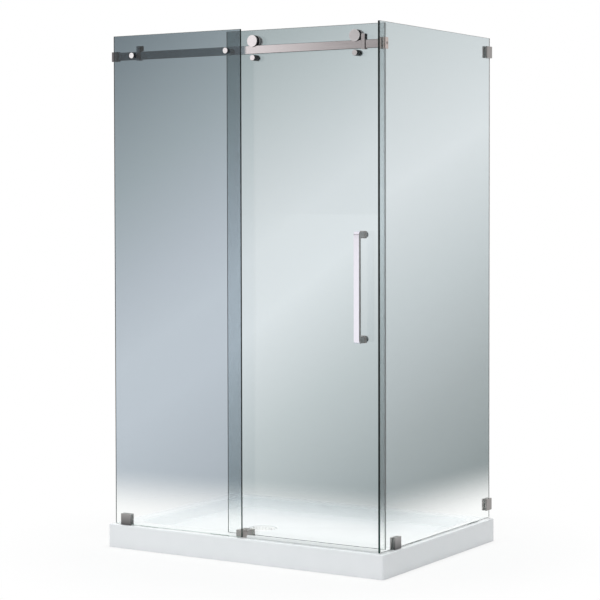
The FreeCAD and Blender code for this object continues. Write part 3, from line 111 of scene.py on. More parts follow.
# %% [markdown]
# The camera stands to the right of the enclosure at about 1.34 m, as a photographer would. It is
# held nearly level behind a long lens, and a small downward shift takes the place of more tilt,
# which keeps the tall glass edges nearly parallel.

# %% Camera
camera_data = bpy.data.cameras.new("studio_camera")
camera_data.sensor_width = 36.0
camera_data.lens = 110.727
camera_data.shift_y = -0.08
camera_data.clip_end = 60.0
studio_camera = bpy.data.objects.new("studio_camera", camera_data)
scene.collection.objects.link(studio_camera)
studio_camera.location = (3.7802, -6.0826, 1.3445)
studio_camera.rotation_euler = [math.radians(turn) for turn in (90 - 1.656, 0.111, 31.930)]
scene.camera = studio_camera
print("camera at", [round(v, 3) for v in studio_camera.location])

# %% [markdown]
# Colours are written as sRGB hex values, as a paint chart gives them, and one function turns them
# into the linear numbers that a shader needs. One more adds a node with its settings and links.

# %% Colour and node helpers
scene.view_settings.view_transform = "Standard"


def paint(hex_code, alpha=1.0):
    channels = []
    for k in (1, 3, 5):
        value = int(hex_code[k:k + 2], 16) / 255
        channels.append(value / 12.92 if value <= 0.04045 else ((value + 0.055) / 1.055) ** 2.4)
    return (*channels, alpha)


def add_node(tree, kind, values=None, links=None, **settings):
    """One node with its settings, the values of its inputs and the links into them."""
    node = tree.nodes.new(kind)
    for name, setting in settings.items():
        setattr(node, name, setting)
    for name, value in (values or {}).items():
        node.inputs[name].default_value = value
    for name, socket in (links or {}).items():
        tree.links.new(socket, node.inputs[name])
    return node


def new_material(name):
    material = bpy.data.materials.new(name)
    material.use_nodes = True
    material.node_tree.nodes.clear()
    return material, material.node_tree


def finish_material(tree, shader_socket):
    add_node(tree, "ShaderNodeOutputMaterial", links={"Surface": shader_socket})


def seen_directly(tree):
    """1 for camera, mirror and glass rays, and 0 for the light that falls on things."""
    rays = add_node(tree, "ShaderNodeLightPath")
    camera_or_mirror = add_node(
        tree, "ShaderNodeMath", operation="MAXIMUM",
        links={0: rays.outputs["Is Camera Ray"], 1: rays.outputs["Is Glossy Ray"]})
    any_of_them = add_node(
        tree, "ShaderNodeMath", operation="MAXIMUM",
        links={0: camera_or_mirror.outputs[0], 1: rays.outputs["Is Transmission Ray"]})
    return any_of_them.outputs[0]


# %% [markdown]
# The studio is white. Camera, mirror and glass rays see a plain white world, so metal and glass
# show the same background, while the light that falls on the object is softer than that.

# %% World
world = bpy.data.worlds.new("white_studio")
scene.world = world
world.use_nodes = True
sky = world.node_tree
sky.nodes.clear()
lit = add_node(sky, "ShaderNodeBackground", {"Color": paint("#f5f6f9"), "Strength": 0.43})
seen = add_node(sky, "ShaderNodeBackground", {"Color": paint("#ffffff"), "Strength": 1.0})
mixed = add_node(
    sky, "ShaderNodeMixShader",
    links={0: seen_directly(sky), 1: lit.outputs[0], 2: seen.outputs[0]},
)
add_node(sky, "ShaderNodeOutputWorld", links={"Surface": mixed.outputs[0]})

# %% [markdown]
# The floor is pale and keeps a faint shadow under the tray. Away from the object it turns into
# the same plain white as the world, so no horizon shows through the glass.

# %% Floor
bpy.ops.object.select_all(action="DESELECT")
bpy.ops.mesh.primitive_plane_add(size=40.0, location=(0, 0, -0.0006))
studio_floor = bpy.context.active_object
studio_floor.name = "studio_floor"
pale_floor, tree = new_material("pale_studio_floor")
place = add_node(tree, "ShaderNodeTexCoord")
distance = add_node(
    tree, "ShaderNodeVectorMath", operation="LENGTH", links={0: place.outputs["Object"]})
far = add_node(
    tree, "ShaderNodeMapRange", {"From Min": 0.75, "From Max": 1.3, "To Min": 0.75, "To Max": 1.0},
    {"Value": distance.outputs["Value"]}, interpolation_type="SMOOTHSTEP",
)
share = add_node(
    tree, "ShaderNodeMath", operation="MULTIPLY",
    links={0: seen_directly(tree), 1: far.outputs["Result"]},
)
matt = add_node(
    tree, "ShaderNodeBsdfPrincipled", {"Base Color": paint("#f2f2f1"), "Roughness": 0.9})
white = add_node(tree, "ShaderNodeEmission", {"Color": paint("#ffffff"), "Strength": 1.0})
mixed = add_node(
    tree, "ShaderNodeMixShader",
    links={0: share.outputs[0], 1: matt.outputs[0], 2: white.outputs[0]},
)
finish_material(tree, mixed.outputs[0])
studio_floor.data.materials.append(pale_floor)

# %% [markdown]
# Three big soft lamps light the object: a strong one above for the basin, a weaker one in front,
# and one behind for the views from there. None stands at the right, so that side of the tray is
# the darkest. Mirror and glass rays don't see the lamps, which would show as squares in the panes.

# %% Lamps


def soft_lamp(name, place, aim, size, power):
    data = bpy.data.lights.new(name, "AREA")
    data.shape = "RECTANGLE"
    data.size, data.size_y = size
    data.energy = power
    lamp = bpy.data.objects.new(name, data)
    scene.collection.objects.link(lamp)
    lamp.location = place
    lamp.rotation_euler = (Vector(aim) - Vector(place)).to_track_quat("-Z", "Y").to_euler()
    lamp.visible_camera = False
    lamp.visible_glossy = False
    lamp.visible_transmission = False


soft_lamp("top_lamp", (0.1, 0.0, 4.6), (0.0, 0.0, 0.0), (2.6, 2.2), 138)
soft_lamp("key_lamp", (-0.6, -4.6, 2.0), (0.0, -0.3, 1.0), (2.2, 3.0), 43)
soft_lamp("back_lamp", (-0.4, 4.8, 2.4), (0.0, 0.3, 0.9), (2.2, 2.6), 24)

# %% [markdown]
# Polished steel shows its surroundings, and in an all-white room it would be white all over.
# Photographers stand a grey card beside the camera's view to give metal its tone. This one gets
# darker to the right, and the rail and the wheel caps mirror it. Only glossy rays see it.

# %% Grey card


def grey_card(name, corners, light, dark, light_end, dark_end):
    """A card through four corners that only mirror rays see; its tone changes along x."""
    bpy.ops.object.select_all(action="DESELECT")
    bpy.ops.mesh.primitive_plane_add(size=1.0)
    card = bpy.context.active_object
    card.name = name
    for vertex, corner in zip(card.data.vertices, corners):
        vertex.co = corner
    paper, tree = new_material(name)
    place = add_node(tree, "ShaderNodeTexCoord")
    parts = add_node(tree, "ShaderNodeSeparateXYZ", links={"Vector": place.outputs["Object"]})
    across = add_node(
        tree, "ShaderNodeMapRange", {"From Min": light_end, "From Max": dark_end},
        {"Value": parts.outputs["X"]})
    tone = add_node(
        tree, "ShaderNodeMix", data_type="RGBA", links={"Factor": across.outputs["Result"]})
    tone.inputs[6].default_value = paint(light)
    tone.inputs[7].default_value = paint(dark)
    shade = add_node(
        tree, "ShaderNodeEmission", {"Strength": 1.0}, {"Color": tone.outputs[2]})
    finish_material(tree, shade.outputs[0])
    card.data.materials.append(paper)
    for kind in ("camera", "diffuse", "transmission", "volume_scatter", "shadow"):
        setattr(card, "visible_" + kind, False)


grey_card(
    "front_grey_card",
    ((-2.58, -4.2, 1.25), (-0.4, -4.2, 1.25), (-2.58, -4.2, 3.5), (-0.4, -4.2, 3.5)),
    "#fbf3f5", "#9a9898", -2.42, -1.85)

# %% [markdown]
# The tray is vacuum-formed acrylic sheet: dense white, glossy, with the faint waviness that a
# formed sheet has. A clear coat gives the wet look, and a broad, very low bump the waviness.

# %% Formed acrylic
formed_acrylic, tree = new_material("formed_white_acrylic")
place = add_node(tree, "ShaderNodeTexCoord")
waves = add_node(
    tree, "ShaderNodeTexNoise", {"Scale": 14.0, "Detail": 2.0, "Roughness": 0.4},
    {"Vector": place.outputs["Object"]})
grain = add_node(
    tree, "ShaderNodeTexNoise", {"Scale": 260.0, "Detail": 2.0},
    {"Vector": place.outputs["Object"]})
sheen = add_node(
    tree, "ShaderNodeMapRange", {"To Min": 0.16, "To Max": 0.26},
    {"Value": grain.outputs["Fac"]})
tone = add_node(
    tree, "ShaderNodeMix", data_type="RGBA", links={"Factor": waves.outputs["Fac"]})
tone.inputs[6].default_value = paint("#f7f9fb")
tone.inputs[7].default_value = paint("#f1f4f6")
ripple = add_node(
    tree, "ShaderNodeBump", {"Strength": 0.05, "Distance": 0.004},
    {"Height": waves.outputs["Fac"]})
surface = add_node(
    tree, "ShaderNodeBsdfPrincipled",
    {"IOR": 1.49, "Coat Weight": 0.4, "Coat Roughness": 0.06},
    {"Base Color": tone.outputs[2], "Roughness": sheen.outputs["Result"],
     "Normal": ripple.outputs["Normal"]},
)
finish_material(tree, surface.outputs[0])

# %% [markdown]
# Brushed stainless steel has fine lines along the direction of brushing. Noise that is stretched
# a hundred times along that direction draws them, in roughness and in a trace of bump. The
# brush marks are about 0.3 mm apart on the real bar; here they are drawn near 1 mm so they show.

# %% Brushed and polished steel


def brushed_steel(name, stretch, light, dark, gloss, painted_shade_below=None, metallic=1.0):
    """Stretch gives how many marks there are per metre along x, y and z.

    Given two heights and a shade, the tone goes from the shade at the lower height to its own value
    at the upper one. This is painted shade, darker towards the bottom, as on a plate near the
    floor.
    A value of metallic below 1 stands for clear lacquer, which scatters some light.
    """
    material, tree = new_material(name)
    place = add_node(tree, "ShaderNodeTexCoord")
    along = add_node(
        tree, "ShaderNodeMapping", {"Scale": stretch}, {"Vector": place.outputs["Object"]})
    marks = add_node(
        tree, "ShaderNodeTexNoise", {"Scale": 1.0, "Detail": 4.0, "Roughness": 0.6},
        {"Vector": along.outputs["Vector"]})
    tone = add_node(
        tree, "ShaderNodeMix", data_type="RGBA", links={"Factor": marks.outputs["Fac"]})
    tone.inputs[6].default_value = paint(dark)
    tone.inputs[7].default_value = paint(light)
    # Painted shade: darker towards the bottom.
    if painted_shade_below:
        parts = add_node(tree, "ShaderNodeSeparateXYZ", links={"Vector": place.outputs["Object"]})
        height = add_node(
            tree, "ShaderNodeMapRange", {"From Min": painted_shade_below[0], "From Max": painted_shade_below[1]},
            {"Value": parts.outputs["Z"]})
        shade = add_node(
            tree, "ShaderNodeMix", data_type="RGBA", links={"Factor": height.outputs["Result"]})
        shade.inputs[6].default_value = paint(painted_shade_below[2])
        shade.inputs[7].default_value = paint("#ffffff")
        tone = add_node(
            tree, "ShaderNodeMix", {"Factor": 1.0}, data_type="RGBA", blend_type="MULTIPLY",
            links={6: tone.outputs[2], 7: shade.outputs[2]})
    rough = add_node(
        tree, "ShaderNodeMapRange", {"To Min": gloss - 0.05, "To Max": gloss + 0.08},
        {"Value": marks.outputs["Fac"]})
    scratch = add_node(
        tree, "ShaderNodeBump", {"Strength": 0.05, "Distance": 0.0003},
        {"Height": marks.outputs["Fac"]})
    surface = add_node(
        tree, "ShaderNodeBsdfPrincipled", {"Metallic": metallic},
        {"Base Color": tone.outputs[2], "Roughness": rough.outputs["Result"],
         "Normal": scratch.outputs["Normal"]},
    )
    finish_material(tree, surface.outputs[0])
    return material


rail_steel = brushed_steel("satin_rail_steel", (6.0, 900.0, 900.0), "#eeeaea", "#e2dede", 0.18)
painted_dark_edge_steel = brushed_steel("steel_painted_dark_reflection", (500.0, 500.0, 500.0), "#4c4949", "#3b3939", 0.25)
cap_steel = brushed_steel(
    "lacquered_cap_steel", (500.0, 20.0, 500.0), "#fdf9fa", "#f3efef", 0.14, metallic=0.7)
handle_steel = brushed_steel(
    "satin_handle_steel", (900.0, 900.0, 6.0), "#faf7ff", "#efecf6", 0.14, metallic=0.8)
painted_shade_post_steel = brushed_steel(
    "satin_steel_painted_shade", (20.0, 500.0, 500.0), "#c4bfbc", "#b1acaa", 0.25, metallic=0.6)
clip_steel = brushed_steel("brushed_clip_steel", (700.0, 700.0, 12.0), "#a09c9a", "#8c8886", 0.30)
# The floor clip plates carry painted shade, darker towards the floor.
foot_steel = brushed_steel(
    "brushed_floor_clip_steel", (700.0, 700.0, 12.0), "#a6a4a3", "#949291", 0.30,
    painted_shade_below=(0.090, 0.130, "#9a9a9c"))
drain_steel = brushed_steel(
    "bright_drain_steel", (300.0, 300.0, 20.0), "#fdfdfc", "#f5f6f5", 0.35, metallic=0.4)
disc_steel = brushed_steel("turned_steel", (500.0, 20.0, 500.0), "#d8d0d1", "#c8c0c1", 0.16)
hanger_steel = brushed_steel("grey_hanger_steel", (500.0, 20.0, 500.0), "#8f8d8e", "#7c7a7b", 0.40)
bracket_steel = brushed_steel(
    "satin_bracket_steel", (500.0, 500.0, 20.0), "#c6bab5", "#b2a6a1", 0.2)
painted_shade_rail_steel = brushed_steel("rail_steel_painted_shade_and_reflection", (6.0, 400.0, 400.0), "#242222", "#1b1a1a", 0.4)
dark_steel = brushed_steel("brushed_dark_steel", (20.0, 500.0, 500.0), "#7d797a", "#6a6667", 0.3)
bolt_steel = brushed_steel("bolt_steel", (300.0, 300.0, 300.0), "#b9b8b8", "#a6a5a5", 0.22)
race_steel = brushed_steel("bearing_race_steel", (300.0, 30.0, 300.0), "#c4c5c8", "#b1b2b5", 0.10)

# %% [markdown]
# Chrome plate on the drain is a mirror with a slightly cold tint. The only variation on a new
# part is a faint polish haze, so a broad noise moves the roughness a little.

# %% Chrome plate
chrome_plate, tree = new_material("chrome_plate")
place = add_node(tree, "ShaderNodeTexCoord")
haze = add_node(
    tree, "ShaderNodeTexNoise", {"Scale": 60.0, "Detail": 2.0}, {"Vector": place.outputs["Object"]})
rough = add_node(
    tree, "ShaderNodeMapRange", {"To Min": 0.10, "To Max": 0.20}, {"Value": haze.outputs["Fac"]})
surface = add_node(
    tree, "ShaderNodeBsdfPrincipled", {"Base Color": paint("#f7f9fb"), "Metallic": 1.0},
    {"Roughness": rough.outputs["Result"]})
finish_material(tree, surface.outputs[0])

# %% [markdown]
# Nylon wheels, rubber bumpers and nylon liners are moulded. Moulded plastic is never quite flat:
# a fine spark-eroded grain of about half a millimetre breaks the highlight.

# %% Moulded plastics and rubber


def moulded(name, light, dark, low_gloss, high_gloss, ior):
    material, tree = new_material(name)
    place = add_node(tree, "ShaderNodeTexCoord")
    grain = add_node(
        tree, "ShaderNodeTexNoise", {"Scale": 1800.0, "Detail": 3.0},
        {"Vector": place.outputs["Object"]})
    tone = add_node(
        tree, "ShaderNodeMix", data_type="RGBA", links={"Factor": grain.outputs["Fac"]})
    tone.inputs[6].default_value = paint(dark)
    tone.inputs[7].default_value = paint(light)
    rough = add_node(
        tree, "ShaderNodeMapRange", {"To Min": low_gloss, "To Max": high_gloss},
        {"Value": grain.outputs["Fac"]})
    pits = add_node(
        tree, "ShaderNodeBump", {"Strength": 0.15, "Distance": 0.0002},
        {"Height": grain.outputs["Fac"]})
    surface = add_node(
        tree, "ShaderNodeBsdfPrincipled", {"IOR": ior},
        {"Base Color": tone.outputs[2], "Roughness": rough.outputs["Result"],
         "Normal": pits.outputs["Normal"]},
    )
    finish_material(tree, surface.outputs[0])
    return material


black_nylon = moulded("moulded_black_nylon", "#232427", "#17181a", 0.36, 0.5, 1.53)
black_rubber = moulded("moulded_black_rubber", "#1e1e1f", "#141414", 0.62, 0.8, 1.52)
white_nylon = moulded("moulded_white_nylon", "#edece8", "#e2e1dc", 0.34, 0.48, 1.53)

# %% [markdown]
# Seals, gaskets and setting blocks are clear vinyl. Such thin soft parts are seen mostly by their
# shine, so the material is a slightly milky skin that lets about seven tenths of the light pass.
# The threshold strip is thicker and whiter, so more of it shows; the door's seal is a mere film.

# %% Clear vinyl


def vinyl(name, tone, share):
    """Share is the part of the light that meets the milky skin."""
    material, tree = new_material(name)
    place = add_node(tree, "ShaderNodeTexCoord")
    cloud = add_node(
        tree, "ShaderNodeTexNoise", {"Scale": 90.0, "Detail": 2.0},
        {"Vector": place.outputs["Object"]})
    rough = add_node(
        tree, "ShaderNodeMapRange", {"To Min": 0.16, "To Max": 0.28},
        {"Value": cloud.outputs["Fac"]})
    milk = add_node(
        tree, "ShaderNodeMapRange", {"To Min": share - 0.04, "To Max": share + 0.04},
        {"Value": cloud.outputs["Fac"]})
    surface = add_node(
        tree, "ShaderNodeBsdfPrincipled", {"Base Color": paint(tone), "IOR": 1.45},
        {"Roughness": rough.outputs["Result"], "Alpha": milk.outputs["Result"]})
    finish_material(tree, surface.outputs[0])
    return material


clear_vinyl = vinyl("clear_vinyl", "#eef5f3", 0.3)
seal_vinyl = vinyl("thin_seal_vinyl", "#e6eeec", 0.07)
milky_vinyl = vinyl("milky_vinyl", "#f3f6f6", 0.75)

# %% [markdown]
# Real tempered glass is nearly clear. Here each pane is painted with a soft grey or green cast that
# imitates the room seen in it. The cast changes along one slanting direction, so the pane's
# coordinates are projected on it and a colour ramp gives the tone. It belongs to the pane and is
# the same from every side. Towards the white tray it fades out at one height on all three panes.
# Lamps shine through without refraction, which keeps the basin bright and free of noise.

# %% Tempered glass


def tempered_glass(name, direction, start, end, stops):
    """The ramp runs from start to end, in metres along the direction."""
    material, tree = new_material(name)
    place = add_node(tree, "ShaderNodeTexCoord")
    along = add_node(
        tree, "ShaderNodeVectorMath", {1: direction}, {0: place.outputs["Object"]},
        operation="DOT_PRODUCT")
    spread = add_node(
        tree, "ShaderNodeMapRange", {"From Min": start, "From Max": end},
        {"Value": along.outputs["Value"]})
    ramp = add_node(tree, "ShaderNodeValToRGB", links={"Fac": spread.outputs["Result"]})
    elements = ramp.color_ramp.elements
    elements[0].position, elements[0].color = stops[0][0], paint(stops[0][1])
    elements[1].position, elements[1].color = stops[-1][0], paint(stops[-1][1])
    for position, tint in stops[1:-1]:
        element = elements.new(position)
        element.color = paint(tint)
    parts = add_node(tree, "ShaderNodeSeparateXYZ", links={"Vector": place.outputs["Object"]})
    share = add_node(
        tree, "ShaderNodeMapRange", {"From Min": FADE_LOW, "From Max": FADE_HIGH},
        {"Value": parts.outputs["Z"]}, interpolation_type="SMOOTHSTEP")
    # The ramp's colour is the pane's painted reflection of the room; low down it gives way to clear
    # glass.
    tint = add_node(
        tree, "ShaderNodeMix", data_type="RGBA",
        links={"Factor": share.outputs["Result"], 7: ramp.outputs["Color"]})
    tint.inputs[6].default_value = paint("#fcfefd")
    surface = add_node(
        tree, "ShaderNodeBsdfPrincipled",
        {"Roughness": 0.0, "IOR": 1.5, "Specular IOR Level": 0.25, "Transmission Weight": 1.0},
        {"Base Color": tint.outputs[2]})
    through = add_node(tree, "ShaderNodeBsdfTransparent", {"Color": paint("#f8fcfb")})
    rays = add_node(tree, "ShaderNodeLightPath")
    lets_light_in = add_node(
        tree, "ShaderNodeMixShader",
        links={0: rays.outputs["Is Shadow Ray"], 1: surface.outputs[0], 2: through.outputs[0]})
    finish_material(tree, lets_light_in.outputs[0])
    return material


# The casts start level with the tray's front left corner and fade out above its rim.
TRAY_HALF_WIDTH, TRAY_HALF_DEPTH = 0.6095, 0.4445
FADE_LOW, FADE_HIGH = 0.12, 0.32
fixed_slope = (-0.5446, 0.0, 0.8387)
door_slope = (-0.5878, 0.0, 0.8090)
return_slope = (0.0, -0.3090, 0.9511)
fixed_zero = -TRAY_HALF_WIDTH * fixed_slope[0]
door_zero = -TRAY_HALF_WIDTH * door_slope[0]
return_zero = -TRAY_HALF_DEPTH * return_slope[1]
# The stops are the tones of each pane's painted reflection of the room.
fixed_glass = tempered_glass(
    "glass_painted_blue_grey_reflection", fixed_slope, fixed_zero - 0.03, fixed_zero + 1.70,
    ((0.0, "#a7b1b9"), (0.22, "#b9c3cc"), (0.34, "#bac4cd"), (0.45, "#b0bac3"),
     (0.67, "#94a1a7"), (1.0, "#5e6c74")))
door_glass = tempered_glass(
    "glass_painted_green_grey_reflection", door_slope, door_zero - 0.55, door_zero + 1.28,
    ((0.0, "#8a9698"), (0.29, "#bcc6c8"), (0.48, "#dbe3e6"), (0.60, "#d7dfe2"),
     (0.915, "#a7b3b5"), (1.0, "#9ba7a9")))
return_glass = tempered_glass(
    "glass_painted_pale_reflection", return_slope, return_zero - 0.18, return_zero + 1.88,
    ((0.0, "#647374"), (0.28, "#97a2a4"), (0.5, "#bbc5c8"), (0.71, "#d6dee1"), (1.0, "#bbc5c7")))

# %% [markdown]
# At its edges tempered glass is dark green, because there the eye looks through the whole width
# of the pane. High up it is painted nearly black; close to the white tray it is painted lighter, as
# painted light from the tray, so the green shows. The edge is ground; its narrow arris is polished,
# so it is darker and glossier. Where the fixed pane stands on its clear blocks, the lower edge is
# painted pale: a painted reflection of the white tray.

# %% Ground glass edges


def ground_edge(name, tones, rough_low, rough_high):
    """Tones are two hex values high on the pane and two close to the tray."""
    material, tree = new_material(name)
    place = add_node(tree, "ShaderNodeTexCoord")
    grind = add_node(
        tree, "ShaderNodeTexNoise", {"Scale": 420.0, "Detail": 3.0},
        {"Vector": place.outputs["Object"]})
    pair = []
    for dark, light in (tones[2:], tones[:2]):
        tone = add_node(
            tree, "ShaderNodeMix", data_type="RGBA", links={"Factor": grind.outputs["Fac"]})
        tone.inputs[6].default_value = paint(dark)
        tone.inputs[7].default_value = paint(light)
        pair.append(tone.outputs[2])
    # Lighter towards the tray: painted light from the white tray.
    parts = add_node(tree, "ShaderNodeSeparateXYZ", links={"Vector": place.outputs["Object"]})
    height = add_node(
        tree, "ShaderNodeMapRange", {"From Min": 0.12, "From Max": 0.3},
        {"Value": parts.outputs["Z"]})
    tone = add_node(
        tree, "ShaderNodeMix", data_type="RGBA",
        links={"Factor": height.outputs["Result"], 6: pair[0], 7: pair[1]})
    rough = add_node(
        tree, "ShaderNodeMapRange", {"To Min": rough_low, "To Max": rough_high},
        {"Value": grind.outputs["Fac"]})
    surface = add_node(
        tree, "ShaderNodeBsdfPrincipled", {"IOR": 1.5, "Specular IOR Level": 0.15},
        {"Base Color": tone.outputs[2], "Roughness": rough.outputs["Result"]})
    through = add_node(tree, "ShaderNodeBsdfTransparent")
    rays = add_node(tree, "ShaderNodeLightPath")
    hidden_in_mirrors = add_node(
        tree, "ShaderNodeMixShader",
        links={0: rays.outputs["Is Reflection Ray"], 1: surface.outputs[0], 2: through.outputs[0]})
    finish_material(tree, hidden_in_mirrors.outputs[0])
    return material


dark_edge = ground_edge(
    "ground_glass_edge", ("#0b1210", "#16211e", "#122a25", "#1f463d"), 0.3, 0.5)
dark_arris = ground_edge(
    "polished_glass_arris", ("#0b1210", "#131c1a", "#10241f", "#193a32"), 0.12, 0.2)
# The lower edge of the fixed pane on its blocks: a painted reflection of the white tray.
painted_reflection_foot = ground_edge(
    "glass_edge_painted_tray_reflection", ("#b4c9c2", "#cbdbd6", "#b4c9c2", "#cbdbd6"), 0.3, 0.5)

# %% [markdown]
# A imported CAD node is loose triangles. To soften or smooth its form, its mesh is copied, the
# doubled points are merged, and flat triangles are joined into clean faces. The copy then
# replaces the node on screen and moves with the same body.

# %% Clean copies of CAD nodes


def clean_copy(node):
    mesh = frame["nodes"][node].data.copy()
    mesh.materials.clear()
    piece = bpy.data.objects.new(node + "_dressed", mesh)
    scene.collection.objects.link(piece)
    select_only(piece)
    bpy.ops.mesh.customdata_custom_splitnormals_clear()
    bpy.ops.object.shade_flat()
    in_edit_mode(piece)
    bpy.ops.mesh.select_all(action="SELECT")
    bpy.ops.mesh.remove_doubles(threshold=0.000004)
    bpy.ops.mesh.dissolve_limited(angle_limit=math.radians(0.5))
    back_to_object_mode()
    return piece


def wear(piece, material, node):
    """Give a piece its material, body and slot, and let it stand for its CAD node."""
    piece.data.materials.clear()
    piece.data.materials.append(material)
    stand_in(piece, node)


def wear_two(piece, face_material, side_material, node, test):
    """Two materials: the second goes on the faces that pass the test."""
    piece.data.materials.clear()
    piece.data.materials.append(face_material)
    piece.data.materials.append(side_material)
    for face in piece.data.polygons:
        face.material_index = 1 if test(face) else 0
    stand_in(piece, node)


def behind_front(face):
    """The rounded rim and the side of a turned part, which get a painted dark reflection in a
    darker tone.
    """
    return -0.95 < face.normal.y < 0.9


def stand_in(piece, node):
    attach(piece, body_of_node[node])
    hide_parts(node)


def even_shading(piece, angle=38):
    """Smooth shading across small angles, in which the big flat faces keep their own normal."""
    select_only(piece)
    bpy.ops.object.shade_smooth_by_angle(angle=math.radians(angle))
    weighted = piece.modifiers.new("even_shading", "WEIGHTED_NORMAL")
    weighted.keep_sharp = True
    weighted.weight = 90
    bpy.ops.object.modifier_apply(modifier=weighted.name)


def soften(piece, width, segments=2, angle=38, edge_slot=-1):
    """A narrow bevel on every edge that is sharper than the angle; its faces take slot edge_slot,
    and with -1 the material of the faces beside them.
    """
    select_only(piece)
    bevel = piece.modifiers.new("soft_edges", "BEVEL")
    bevel.width = width
    bevel.segments = segments
    bevel.limit_method = "ANGLE"
    bevel.angle_limit = math.radians(angle)
    bevel.harden_normals = False
    bevel.material = edge_slot
    bpy.ops.object.modifier_apply(modifier=bevel.name)
    even_shading(piece, angle)


slot_of_node = {part["node"]: part["material_slot"] for part in frame["record"]["subparts"]}

# %% [markdown]
# Each pane keeps its drilled holes and notches, so its copy comes from the CAD node. Its faces
# then get three finishes by the way they look: the two big faces are clear glass with the painted
# reflection, the narrow sides are dark green, and the slanting arris is darker still. On the fixed
# pane a fourth goes on the lower edge: a painted reflection of the white tray.

# %% Panes of tempered glass


def dress_pane(node, axis, glass):
    piece = clean_copy(node)
    for material in (glass, dark_edge, dark_arris, painted_reflection_foot):
        piece.data.materials.append(material)
    for face in piece.data.polygons:
        across = abs(face.normal[axis])
        face.material_index = 0 if across > 0.99 else 2 if across > 0.3 else 1
        # The fixed pane's lower edge gets the pale tone, a painted reflection of the white tray.
        if node == "fixed_panel" and face.normal.z < -0.5:
            face.material_index = 3
    stand_in(piece, node)
    print(node, "faces:", len(piece.data.polygons))


dress_pane("fixed_panel", 1, fixed_glass)
dress_pane("door_panel", 1, door_glass)
dress_pane("return_panel", 0, return_glass)

# %% [markdown]
# The tray's basin has soft bends, because acrylic sheet can't fold sharply. The CAD tray gives
# the shape; here its shading is made smooth across the bends.

# %% Tray
tray_piece = clean_copy("shower_tray")
select_only(tray_piece)
bpy.ops.object.shade_smooth_by_angle(angle=math.radians(32))
wear(tray_piece, formed_acrylic, "shower_tray")

# %% [markdown]
# The pull handle is one flat steel bar, bent back at both ends into square posts. By hand it is a
# block whose two front corners are rounded with a wide bevel. Cuts across it mark the posts, and
# the faces between the cuts are extruded back to the collars on the glass.

# %% Helpers for blocks, turned blanks and drilled holes


def block(name, low, high):
    """A box between two corners, its object at the origin."""
    low, high = Vector(low), Vector(high)
    bpy.ops.object.select_all(action="DESELECT")
    bpy.ops.mesh.primitive_cube_add(size=1.0, location=(low + high) / 2)
    piece = bpy.context.active_object
    piece.name = name
    piece.scale = high - low
    bpy.ops.object.transform_apply(location=True, rotation=True, scale=True)
    return piece


def turned_blank(name, centre, radius, front, back, sides=64):
    """A disc whose axis runs along Y, between two faces."""
    bpy.ops.object.select_all(action="DESELECT")
    bpy.ops.mesh.primitive_cylinder_add(
        vertices=sides, radius=radius, depth=back - front,
        location=(centre[0], (front + back) / 2, centre[1]), rotation=(math.radians(90), 0, 0))
    piece = bpy.context.active_object
    piece.name = name
    bpy.ops.object.transform_apply(location=True, rotation=True, scale=True)
    return piece


def drill(piece, start, end, radius):
    """Cut a round hole between two points."""
    start, end = Vector(start), Vector(end)
    bpy.ops.object.select_all(action="DESELECT")
    bpy.ops.mesh.primitive_cylinder_add(
        vertices=32, radius=radius, depth=(end - start).length, location=(start + end) / 2,
        rotation=(end - start).to_track_quat("Z", "Y").to_euler())
    bit = bpy.context.active_object
    select_only(piece)
    hole = piece.modifiers.new("drilled_hole", "BOOLEAN")
    hole.operation = "DIFFERENCE"
    hole.solver = "EXACT"
    hole.object = bit
    bpy.ops.object.modifier_apply(modifier=hole.name)
    bpy.data.objects.remove(bit)


# %% Pull handle
HANDLE_X = 0.4935
HANDLE_POSTS = ((0.830, 0.854), (1.204, 1.228))
handle_piece = block("bent_pull_handle", (0.4825, -0.4325, 0.829), (0.5045, -0.4185, 1.229))
in_edit_mode(handle_piece)
bends = select_edges(
    handle_piece,
    lambda edge: middle(edge).y < -0.432 and abs(abs(middle(edge).z - 1.029) - 0.2) < 0.0001)
bpy.ops.mesh.bevel(offset=0.013, segments=10, affect="EDGES")
for post_low, post_high in HANDLE_POSTS:
    for level in (post_low, post_high):
        bpy.ops.mesh.select_all(action="SELECT")
        bpy.ops.mesh.bisect(plane_co=(0.0, 0.0, level), plane_no=(0.0, 0.0, 1.0))
posts = select_faces(
    handle_piece,
    lambda face: face.normal.y > 0.9 and any(
        low < face.calc_center_median().z < high for low, high in HANDLE_POSTS))
bpy.ops.mesh.extrude_region_move(TRANSFORM_OT_translate={"value": (0.0, 0.031, 0.0)})
back_to_object_mode()
for post_low, post_high in HANDLE_POSTS:
    level = (post_low + post_high) / 2
    drill(handle_piece, (HANDLE_X, -0.3855, level), (HANDLE_X, -0.4055, level), 0.0041)
soften(handle_piece, 0.0011, segments=3, angle=50)
# The sides and back of the bar and its posts get the darker copy of the steel: painted shade.
wear_two(
    handle_piece, handle_steel, painted_shade_post_steel, "pull_handle",
    lambda face: abs(face.normal.x) > 0.35 or face.center.y > -0.4184)
print("handle bends:", bends, "posts:", posts, "faces:", len(handle_piece.data.polygons))

# %% [markdown]
# Each wheel hides behind a turned steel cap: a thin disc with a rounded rim and a short collar at
# its back that snaps into the wheel. The cap starts as a cylinder; its rim is bevelled, and the
# collar is inset and extruded from the back face. The second cap is a copy with its own mesh.

# %% Wheel caps


def shifted_copy(piece, name, shift):
    mesh = piece.data.copy()
    for vertex in mesh.vertices:
        vertex.co += Vector(shift)
    copy = bpy.data.objects.new(name, mesh)
    scene.collection.objects.link(copy)
    return copy


